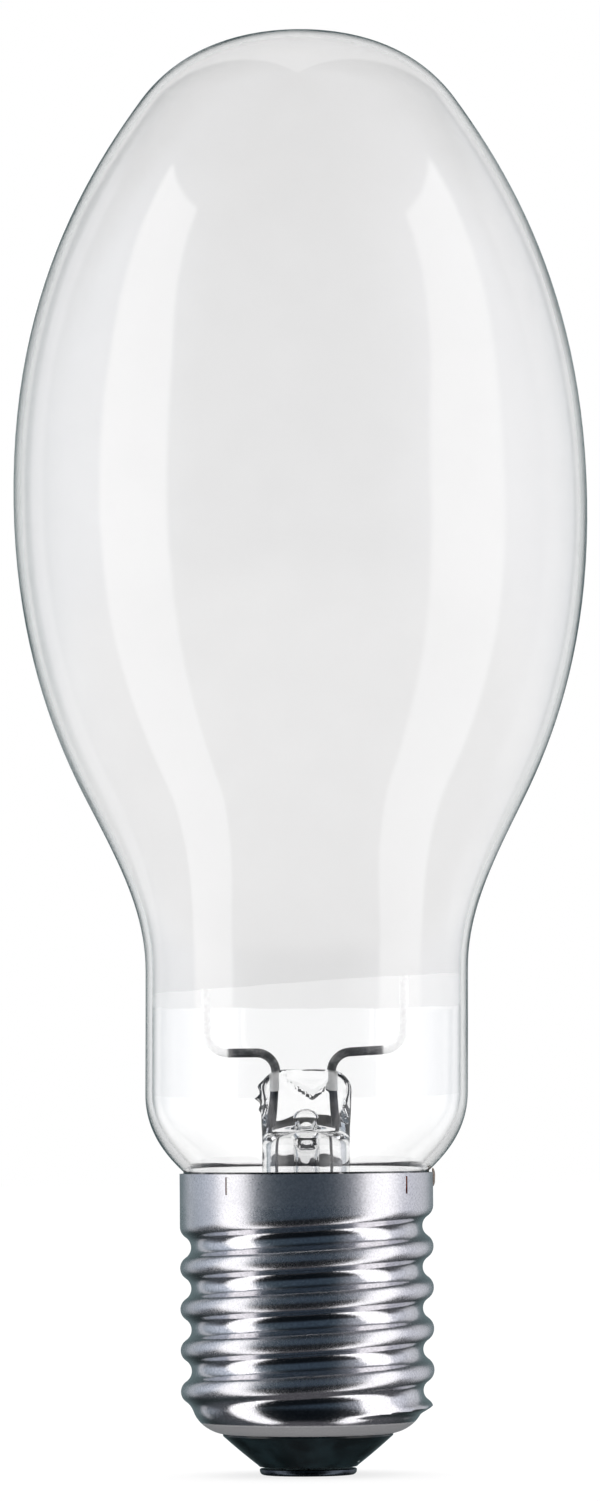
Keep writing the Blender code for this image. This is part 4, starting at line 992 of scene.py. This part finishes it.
def stem_outline(sizes):
    """The flared tube with its closed top, before the top is pressed flat."""
    top = STEM_HIGH.z
    radius = sizes.stem_radius
    corner = radius - PRESS_CORNER
    flare = STEM_HIGH.y
    flare_top = STEM_LOW.z + FLARE_HEIGHT
    outer_pull, inner_pull, wide_pull = FLARE_PULLS
    outline = straight((0, top), (corner, top), 5)
    outline += quarter_round((corner, top - PRESS_CORNER), PRESS_CORNER, PRESS_CORNER, 14)[:0:-1]
    outline += straight((radius, top - PRESS_CORNER), (radius, flare_top), 56)
    run = flare - radius
    outline += curve_between(
        (radius, flare_top),
        (radius, STEM_LOW.z + FLARE_HEIGHT * outer_pull),
        (flare - run * wide_pull, STEM_LOW.z + FLARE_EDGE),
        (flare, STEM_LOW.z + FLARE_EDGE),
        14,
    )
    outline += [(flare, STEM_LOW.z + FLARE_EDGE), (flare, STEM_LOW.z)]
    inner = radius - sizes.stem_wall
    outline += curve_between(
        (flare, STEM_LOW.z),
        (flare - run * wide_pull, STEM_LOW.z),
        (inner, STEM_LOW.z + FLARE_HEIGHT * inner_pull),
        (inner, flare_top),
        14,
    )[1:]
    ring = RIM + RING_TOP
    round_width, round_height = RING_ROUND
    shoulder = ring - round_height - 0.2 * MM
    outline += straight((inner, flare_top), (inner, shoulder), 20)
    outline += quarter_round((inner - round_width, shoulder), round_width, round_height, 8)
    tube = EXHAUST_HIGH.x
    outline += [(tube + 1.0 * MM, ring), (tube + 0.45 * MM, ring - 0.25 * MM)]
    outline += [(tube + 0.1 * MM, ring - 0.8 * MM)]
    bore = tube - TUBE_WALL
    outline += [(bore + 0.05 * MM, ring - 0.8 * MM), (bore, ring)]
    outline += straight((bore, ring), (bore + 0.48 * MM, ring + 2.0 * MM), 4)[1:]
    return outline + quarter_round((0, RIM + BORE_TOP - BORE_DOME), bore + 0.4 * MM, BORE_DOME, 10)


def crease_depth(x, z):
    """Depth of the V-shaped mark in the press's face."""
    spot = Vector((x, z))
    nearest = 1.0
    for start, end in zip(CREASE, CREASE[1:]):
        along = geometry.intersect_point_line(spot, Vector(start), Vector(end))[1]
        along = min(max(along, 0.0), 1.0)
        near = Vector(start).lerp(Vector(end), along)
        nearest = min(nearest, (near - spot).length)
    return CREASE_DEPTH * math.exp(-((nearest / CREASE_WIDTH) ** 2))


def press_flat(piece, sizes):
    """Presses the top of the turned stem flat, with its crease, folds and uneven faces."""
    wide = sizes.press_width / 2 / sizes.stem_radius - 1
    thin = sizes.press_thickness / 2 / sizes.stem_radius - 1
    for vertex in piece.data.vertices:
        spot = vertex.co
        pressed = (spot.z - RIM - PRESS_START) / (PRESS_FULL - PRESS_START)
        pressed = 0.3 * smooth_step(pressed) + 0.7 * min(max(pressed, 0.0), 1.0)
        radius = math.hypot(spot.x, spot.y)
        outer = radius > sizes.stem_radius - sizes.stem_wall * 0.7 or spot.z > RIM + PRESS_SOLID
        flattened = 1.0
        if spot.z < RIM + RING_TOP + 0.01 * MM:
            flattened = smooth_step((radius - 3.0 * MM) / (2.0 * MM))
        spot.x *= 1 + pressed * wide * flattened
        spot.y *= 1 + pressed * thin * flattened
        if outer and spot.z > RIM + PRESS_START:
            face = 1 - smooth_step(abs(spot.x) / (5.5 * MM))
            side = -1 if spot.y > 0 else 1
            if abs(spot.y) > 1.5 * MM:
                spot.y += side * crease_depth(spot.x, spot.z)
                spot.y += side * noise.noise(spot * 260) * 0.16 * MM * face
            if spot.x < -FOLD_SIDE:
                for level, half, reach in FOLDS:
                    off = abs(spot.z / MM - level) / half
                    flat = math.exp(-((spot.y / (0.9 * MM)) ** 2))
                    spot.x -= reach * MM * max(0.0, 1 - off) ** 1.5 * flat
            spot.x += noise.noise(spot * 330 + Vector((3, 1, 2))) * 0.12 * MM


def exhaust_outline():
    """The exhaust tube, open at its top and melted shut at its tip."""
    radius = EXHAUST_HIGH.x
    inner = radius - TUBE_WALL
    tip = EXHAUST_LOW.z
    end = tip + TUBE_END
    top = RIM + RING_TOP - 0.83 * MM
    outline = [(inner, top)] + straight((radius, top), (radius, end), TUBE_ROWS)
    outline += curve_between((radius, end), (radius, tip + 1.2 * MM), (0.9 * MM, tip), (0, tip), 12)
    outline.append((0, tip))
    pit = tip + 2.2 * MM
    outline += curve_between((0, pit), (0.7 * MM, pit), (inner, tip + 3.0 * MM), (inner, end), 8)
    return outline + straight((inner, end), (inner, top), TUBE_ROWS) + [(inner, top)]


def swell_blow_hole(tube):
    """Raises the rim of the hole that was blown in the front of the exhaust tube."""
    height, half_height, half_width = BLOW_HOLE
    outside = EXHAUST_HIGH.x - TUBE_WALL + 0.3 * MM
    for vertex in tube.data.vertices:
        spot = vertex.co
        if spot.y < 0.3 * MM and spot.z > height - 2 * half_height:
            off = Vector(((spot.x - 0.15 * MM) / half_width, (spot.z - height) / half_height)).length
            rim = math.exp(-(((off - 0.72) / 0.26) ** 2))
            pit = math.exp(-((off / 0.42) ** 2))
            outer = math.hypot(spot.x, spot.y) > outside
            swell = (1.15 * rim - 0.25 * pit) * MM if outer else (0.25 * rim - 0.7 * pit) * MM
            front = smooth_step((0.3 * MM - spot.y) / (1.2 * MM))
            spot.y -= swell * front * (1 + 0.5 * noise.noise(spot * 700))


class LAMP_OT_press_stem(bpy.types.Operator):
    """Flares the stem's tube, presses its top flat on the seal wires and draws the exhaust tube"""

    bl_idname = "lamp.press_stem"
    bl_label = "Press the stem"

    def execute(self, context):
        sizes = context.scene.lamp_sizes
        finishes = context.scene.lamp_finishes
        piece = turn("pressed_stem", stem_outline(sizes), STEM_TURNS)
        press_flat(piece, sizes)
        shade(piece, 40)
        # The third colour is painted shade for the pressed glass where it is seen edge-on.
        glass = clear_glass("pressed_glass", finishes.glass, (0.22, 0.235, 0.235), 0.25)
        fit(piece, "stem", glass)
        tube = turn("drawn_exhaust", exhaust_outline(), TUBE_TURNS)
        swell_blow_hole(tube)
        shade(tube, 40)
        fit(tube, "exhaust_tube", glass)
        return {"FINISHED"}


class LAMP_OT_bend_wires(bpy.types.Operator):
    """Bends the support rods, the seal wires and the outer leads"""

    bl_idname = "lamp.bend_wires"
    bl_label = "Bend the wires"

    def execute(self, context):
        sizes = context.scene.lamp_sizes
        finishes = context.scene.lamp_finishes
        rod = rod_metal(finishes, ROD_GLINT_FROM, STEM_HIGH.z)
        dark = plain_metal("dark_metal", finishes.tungsten, 0.42)
        seal_x = (SEAL_LOW.x + SEAL_HIGH.x) / 2
        rod_x = SHORT_HIGH.x - sizes.rod_radius
        level = STEM_HIGH.z + ROD_LEVEL
        foot = SEAL_HIGH.z + WIRE_GAP
        rail = ROD_HIGH.z - sizes.rod_radius
        left = [(-seal_x, foot), (-seal_x, level), (-rod_x, level), (-rod_x, rail), (ROD_HIGH.x, rail)]
        right_x = seal_x - RIGHT_WIRE_IN
        right = [(right_x, foot), (right_x, level - 0.1 * MM)]
        right += [(rod_x, level + 0.5 * MM), (rod_x, SHORT_HIGH.z)]
        for name, corners, node in (("left_rod", left, "long_rod"), ("right_rod", right, "short_rod")):
            piece = bend_wire(name, corners, sizes.rod_radius, ROD_BEND, sides=28)
            fit(piece, node, rod)
        for name, middle, node in (
            ("left_seal", -seal_x, "left_seal_wire"),
            ("right_seal", right_x, "right_seal_wire"),
        ):
            ends = [(middle, SEAL_LOW.z), (middle, SEAL_HIGH.z)]
            piece = bend_wire(name, ends, sizes.seal_radius, ROD_BEND, sides=28)
            fit(piece, node, dark)
        lead_top = SEAL_LOW.z - WIRE_GAP
        rim_low, rim_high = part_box("rim_lead")
        below = rim_low.z + sizes.lead_radius
        out_height = RIM - NOTCH[1] + sizes.lead_radius + SEAT
        lean_end = LEAD_OUT + (out_height - LEAD_TAPER) * math.tan(TAPER_SLOPE)
        rim = [(right_x, lead_top), (right_x, below), (LEAD_OUT, below), (LEAD_OUT, LEAD_TAPER)]
        rim += [(lean_end, out_height), (rim_high.x, out_height)]
        centre = [(-seal_x, lead_top), (-seal_x, EXHAUST_LOW.z)]
        centre += [(0, INSULATOR_HIGH.z + 2.5 * MM), (0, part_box("centre_lead")[0].z)]
        leads = (("rim_wire", rim, "rim_lead", 2.0 * MM), ("centre_wire", centre, "centre_lead", 6.0 * MM))
        for name, corners, node, bend in leads:
            piece = bend_wire(name, corners, sizes.lead_radius, bend, sides=16)
            fit(piece, node, dark)
        return {"FINISHED"}


class LAMP_OT_finish_burner(bpy.types.Operator):
    """Gives the arc tube, its electrodes, straps, springs and getter their finishes"""

    bl_idname = "lamp.finish_burner"
    bl_label = "Finish the arc tube and its mount"

    def execute(self, context):
        finishes = context.scene.lamp_finishes
        # The quartz's second colour is painted shade where it is seen edge-on.
        quartz = clear_glass("quartz", (0.97, 0.975, 0.98), (0.55, 0.56, 0.57), 0.1)
        strip = plain_metal("strip_metal", (0.34, 0.34, 0.34), 0.34)
        tungsten = plain_metal("tungsten", finishes.tungsten, 0.42)
        ends = ("upper", "lower")
        straps = ["left_crown_spring", "right_crown_spring"]
        straps += [f"{end}_{part}" for part in ("arc_link", "clamp") for end in ends]
        dark = [f"{end}_{part}" for part in ("electrode", "electrode_coil", "foil") for end in ends]
        dark.append("getter")
        for finish, nodes in ((quartz, ["arc_tube"]), (strip, straps), (tungsten, dark)):
            for node in nodes:
                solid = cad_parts[node]
                solid.data.materials.clear()
                solid.data.materials.append(finish)
        return {"FINISHED"}


# The room that the lamp mirrors: dark towards the camera, dim behind, with a pale wall on either side.
ROOM_FRONT = (0.04, 0.06, 0.085)
ROOM_BACK = (0.14, 0.19, 0.20)
ROOM_TURN = (0.0, 150.0)  # degrees from the camera's side over which the front turns into the back
LEFT_WALL = (0.60, 0.66, 0.76)
LEFT_WALL_RUN = (37.0, 76.0, 90.0, 158.0)  # degrees where it starts, is full, starts to fade and ends
RIGHT_WALL = (0.83, 0.85, 0.94)
RIGHT_WALL_RUN = (24.0, 80.0, 84.0, 166.0)


def studio_world(studio):
    """White behind the lamp, even light on matt surfaces, and in reflections two tall strips beside the
    lamp, paler panels behind them and a dim side towards the camera."""
    world = bpy.data.worlds.new("studio")
    bpy.context.scene.world = world
    world.use_nodes = True
    nodes = Nodes(world.node_tree)
    path = nodes.add("ShaderNodeLightPath").outputs
    direction = nodes.add("ShaderNodeTexCoord").outputs["Generated"]
    axes = nodes.add("ShaderNodeSeparateXYZ", {"Vector": direction}).outputs
    toward = nodes.math("MULTIPLY", axes["Y"], -1.0)
    side = nodes.math("DEGREES", nodes.math("ARCTAN2", axes["X"], toward))
    left_side = nodes.math("MULTIPLY", side, -1.0)
    away = nodes.math("ABSOLUTE", side)
    rise = nodes.math("DEGREES", nodes.math("ARCSINE", axes["Z"]))

    def window(value, start, end, soft):
        """1 between start and end, with soft edges."""
        inside = nodes.ease(value, start - soft, start + soft)
        return nodes.product(inside, nodes.ease(value, end - soft, end + soft, 1.0, 0.0))

    def wall(angle, run):
        """How much of a side wall is met at an angle from the camera's side towards it."""
        begin, full, fade, end = run
        return nodes.product(nodes.ease(angle, begin, full), nodes.ease(angle, fade, end, 1.0, 0.0))

    level = nodes.mix(nodes.ease(away, *ROOM_TURN), rgba(ROOM_FRONT), rgba(ROOM_BACK))
    level = nodes.mix(wall(left_side, LEFT_WALL_RUN), level, rgba(LEFT_WALL))
    level = nodes.mix(wall(side, RIGHT_WALL_RUN), level, rgba(RIGHT_WALL))
    behind = nodes.ease(away, 92.0, 125.0)
    above = nodes.ease(rise, 28.0, 60.0, 1.0, 0.25)
    above = nodes.product(above, nodes.ease(nodes.product(rise, behind), 6.0, 40.0, 1.0, 0.4))
    below = nodes.ease(rise, -22.0, 1.0, 0.1, 1.0)
    below_back = nodes.ease(rise, -32.0, -5.0, 0.16, 1.0)
    below = nodes.product(below, nodes.math("SUBTRACT", 1.0, behind))
    below = nodes.math("ADD", below, nodes.product(below_back, behind))
    room = nodes.add("ShaderNodeVectorMath", {0: level}, operation="SCALE")
    nodes.set(room.inputs["Scale"], nodes.product(above, below))
    table = nodes.ease(rise, -74.0, -62.0, 1.0, 0.0)
    room = nodes.mix(table, room.outputs[0], (0.09, 0.09, 0.10, 1.0))

    lean_left = nodes.ease(rise, 15.0, 48.0, 0.0, 9.0)
    lean_right = nodes.ease(rise, 5.0, 46.0, 0.0, 13.0)
    left = nodes.math("SUBTRACT", left_side, lean_left)
    right = nodes.math("SUBTRACT", side, lean_right)
    low_end = nodes.ease(rise, -74.0, -64.0)
    top_left = nodes.ease(rise, 46.5, 48.0, 1.0, 0.0)
    top_right = nodes.ease(rise, 44.0, 46.0, 1.0, 0.0)
    strip_left = nodes.product(window(left, 55.0, 88.0, 1.5), top_left, low_end)
    strip_right = nodes.product(window(right, 54.0, 90.0, 2.0), top_right, low_end)
    panel_left = window(left_side, 127.0, 139.0, 2.0)
    panel_right = window(side, 117.0, 144.0, 2.0)
    panels = nodes.product(nodes.math("MAXIMUM", panel_left, panel_right), window(rise, -25.0, 32.0, 5.0))
    strips = nodes.math("MAXIMUM", strip_left, strip_right)
    inside = nodes.math("GREATER_THAN", path["Transmission Depth"], 0.5)
    lit = nodes.mix(nodes.product(panels, 0.35), room, (1.0, 1.0, 1.05, 1.0))
    tone = studio.strips
    lit = nodes.mix(strips, lit, (tone, tone, tone * 1.02, 1.0))
    lit = nodes.mix(nodes.product(inside, nodes.ease(away, 146.0, 152.0)), lit, (1.05, 1.05, 1.05, 1.0))
    table_inside = nodes.product(inside, nodes.ease(rise, -14.0, -4.0, 0.85, 0.0))
    lit = nodes.mix(table_inside, lit, (0.9, 0.9, 0.9, 1.0))

    even = nodes.ease(rise, 20.0, 80.0, studio.ambient, studio.ambient * 0.9)
    even = nodes.product(even, nodes.ease(toward, -1.0, 1.0, 1.3, 0.7))
    even = nodes.grey(even)
    through = nodes.grey(nodes.ease(nodes.math("ABSOLUTE", rise), 34.0, 70.0, 1.1, 0.5))
    rays = nodes.math("ADD", path["Is Camera Ray"], path["Is Diffuse Ray"])
    rays = nodes.math("ADD", rays, nodes.math("ADD", path["Is Glossy Ray"], path["Is Transmission Ray"]))
    sampled = nodes.product(inside, nodes.math("LESS_THAN", rays, 0.5))
    matt = nodes.math("MAXIMUM", nodes.math("GREATER_THAN", path["Diffuse Depth"], 0.5), sampled)
    clear = nodes.product(inside, nodes.math("LESS_THAN", path["Glossy Depth"], 0.5))
    seen = nodes.mix(clear, lit, through)
    seen = nodes.mix(matt, seen, even)
    seen = nodes.mix(path["Is Camera Ray"], seen, (1.0, 1.0, 1.0, 1.0))
    background = nodes.add("ShaderNodeBackground", {"Color": seen, "Strength": 1.0})
    nodes.add("ShaderNodeOutputWorld", {"Surface": background.outputs[0]})


def floor_finish():
    """Pale floor that shows white to the camera and through glass, apart from the lamp's shadow."""
    material, nodes = new_finish("pale_floor")
    path = nodes.add("ShaderNodeLightPath").outputs
    direct = nodes.math("LESS_THAN", path["Glossy Depth"], 0.5)
    direct = nodes.product(direct, nodes.math("LESS_THAN", path["Diffuse Depth"], 0.5))
    clear_way = nodes.math("MAXIMUM", path["Is Camera Ray"], path["Is Transmission Ray"])
    seen = nodes.product(direct, clear_way)
    shadowed = nodes.add("ShaderNodeBsdfDiffuse", {"Color": rgba((0.23, 0.23, 0.23))})
    glow = nodes.math("ADD", nodes.product(path["Is Transmission Ray"], 0.12), 0.75)
    white = nodes.add("ShaderNodeEmission", {"Color": rgba((1, 1, 1)), "Strength": glow})
    both = nodes.add("ShaderNodeAddShader", {0: shadowed.outputs[0], 1: white.outputs[0]})
    clear = nodes.add("ShaderNodeBsdfTransparent")
    face = nodes.add("ShaderNodeMixShader", {0: seen, 1: clear.outputs[0], 2: both.outputs[0]})
    nodes.surface(face.outputs[0])
    return material


class LAMP_OT_set_stage(bpy.types.Operator):
    """Sets up the pale floor, the studio light and the camera"""

    bl_idname = "lamp.set_stage"
    bl_label = "Set the stage"

    def execute(self, context):
        studio = context.scene.lamp_studio
        deselect()
        bpy.ops.mesh.primitive_plane_add(size=8.0, location=(0, 0, CAD_BOX[0].z))
        floor = name_new("floor")
        floor.data.materials.append(floor_finish())
        floor.visible_glossy = False
        studio_world(studio)
        place = Vector((-0.5 * MM, -studio.distance, studio.height))
        aim = Vector((-0.5 * MM, 0, studio.aim))
        look = (aim - place).to_track_quat("-Z", "Y") @ Quaternion((0, 0, 1), -studio.lean)
        bpy.ops.object.camera_add(location=place, rotation=look.to_euler())
        camera = bpy.context.object
        camera.name = "camera"
        camera.data.sensor_width = 36.0
        camera.data.lens = camera.data.sensor_width * (aim - place).length / studio.field
        camera.data.clip_start = 0.01
        camera.data.clip_end = 100.0
        context.scene.camera = camera
        context.scene.view_settings.view_transform = "Standard"
        return {"FINISHED"}


STEPS = (
    LAMP_OT_blow_bulb,
    LAMP_OT_coat_bulb,
    LAMP_OT_roll_cap,
    LAMP_OT_mould_insulator,
    LAMP_OT_fit_contact,
    LAMP_OT_press_stem,
    LAMP_OT_bend_wires,
    LAMP_OT_finish_burner,
    LAMP_OT_set_stage,
)


class VIEW3D_PT_lamp(bpy.types.Panel):
    """The lamp's sizes, finishes and steps"""

    bl_label = "Metal halide lamp"
    bl_idname = "VIEW3D_PT_lamp"
    bl_space_type = "VIEW_3D"
    bl_region_type = "UI"
    bl_category = "Lamp"

    def draw(self, context):
        layout = self.layout
        for group in (context.scene.lamp_sizes, context.scene.lamp_finishes, context.scene.lamp_studio):
            box = layout.box()
            for name in group.bl_rna.properties.keys():
                if name not in ("rna_type", "name"):
                    box.prop(group, name)
        for step in STEPS:
            layout.operator(step.bl_idname)


CLASSES = (LampSizes, LampFinishes, LampStudio, *STEPS, VIEW3D_PT_lamp)


def register():
    for item in CLASSES:
        bpy.utils.register_class(item)
    bpy.types.Scene.lamp_sizes = PointerProperty(type=LampSizes)
    bpy.types.Scene.lamp_finishes = PointerProperty(type=LampFinishes)
    bpy.types.Scene.lamp_studio = PointerProperty(type=LampStudio)


def unregister():
    del bpy.types.Scene.lamp_studio
    del bpy.types.Scene.lamp_finishes
    del bpy.types.Scene.lamp_sizes
    for item in reversed(CLASSES):
        bpy.utils.unregister_class(item)


def main():
    register()
    bpy.ops.lamp.blow_bulb()
    bpy.ops.lamp.coat_bulb()
    bpy.ops.lamp.roll_cap()
    bpy.ops.lamp.mould_insulator()
    bpy.ops.lamp.fit_contact()
    bpy.ops.lamp.press_stem()
    bpy.ops.lamp.bend_wires()
    bpy.ops.lamp.finish_burner()
    bpy.ops.lamp.set_stage()
    bpy.context.view_layer.update()


if __name__ == "__main__":
    main()
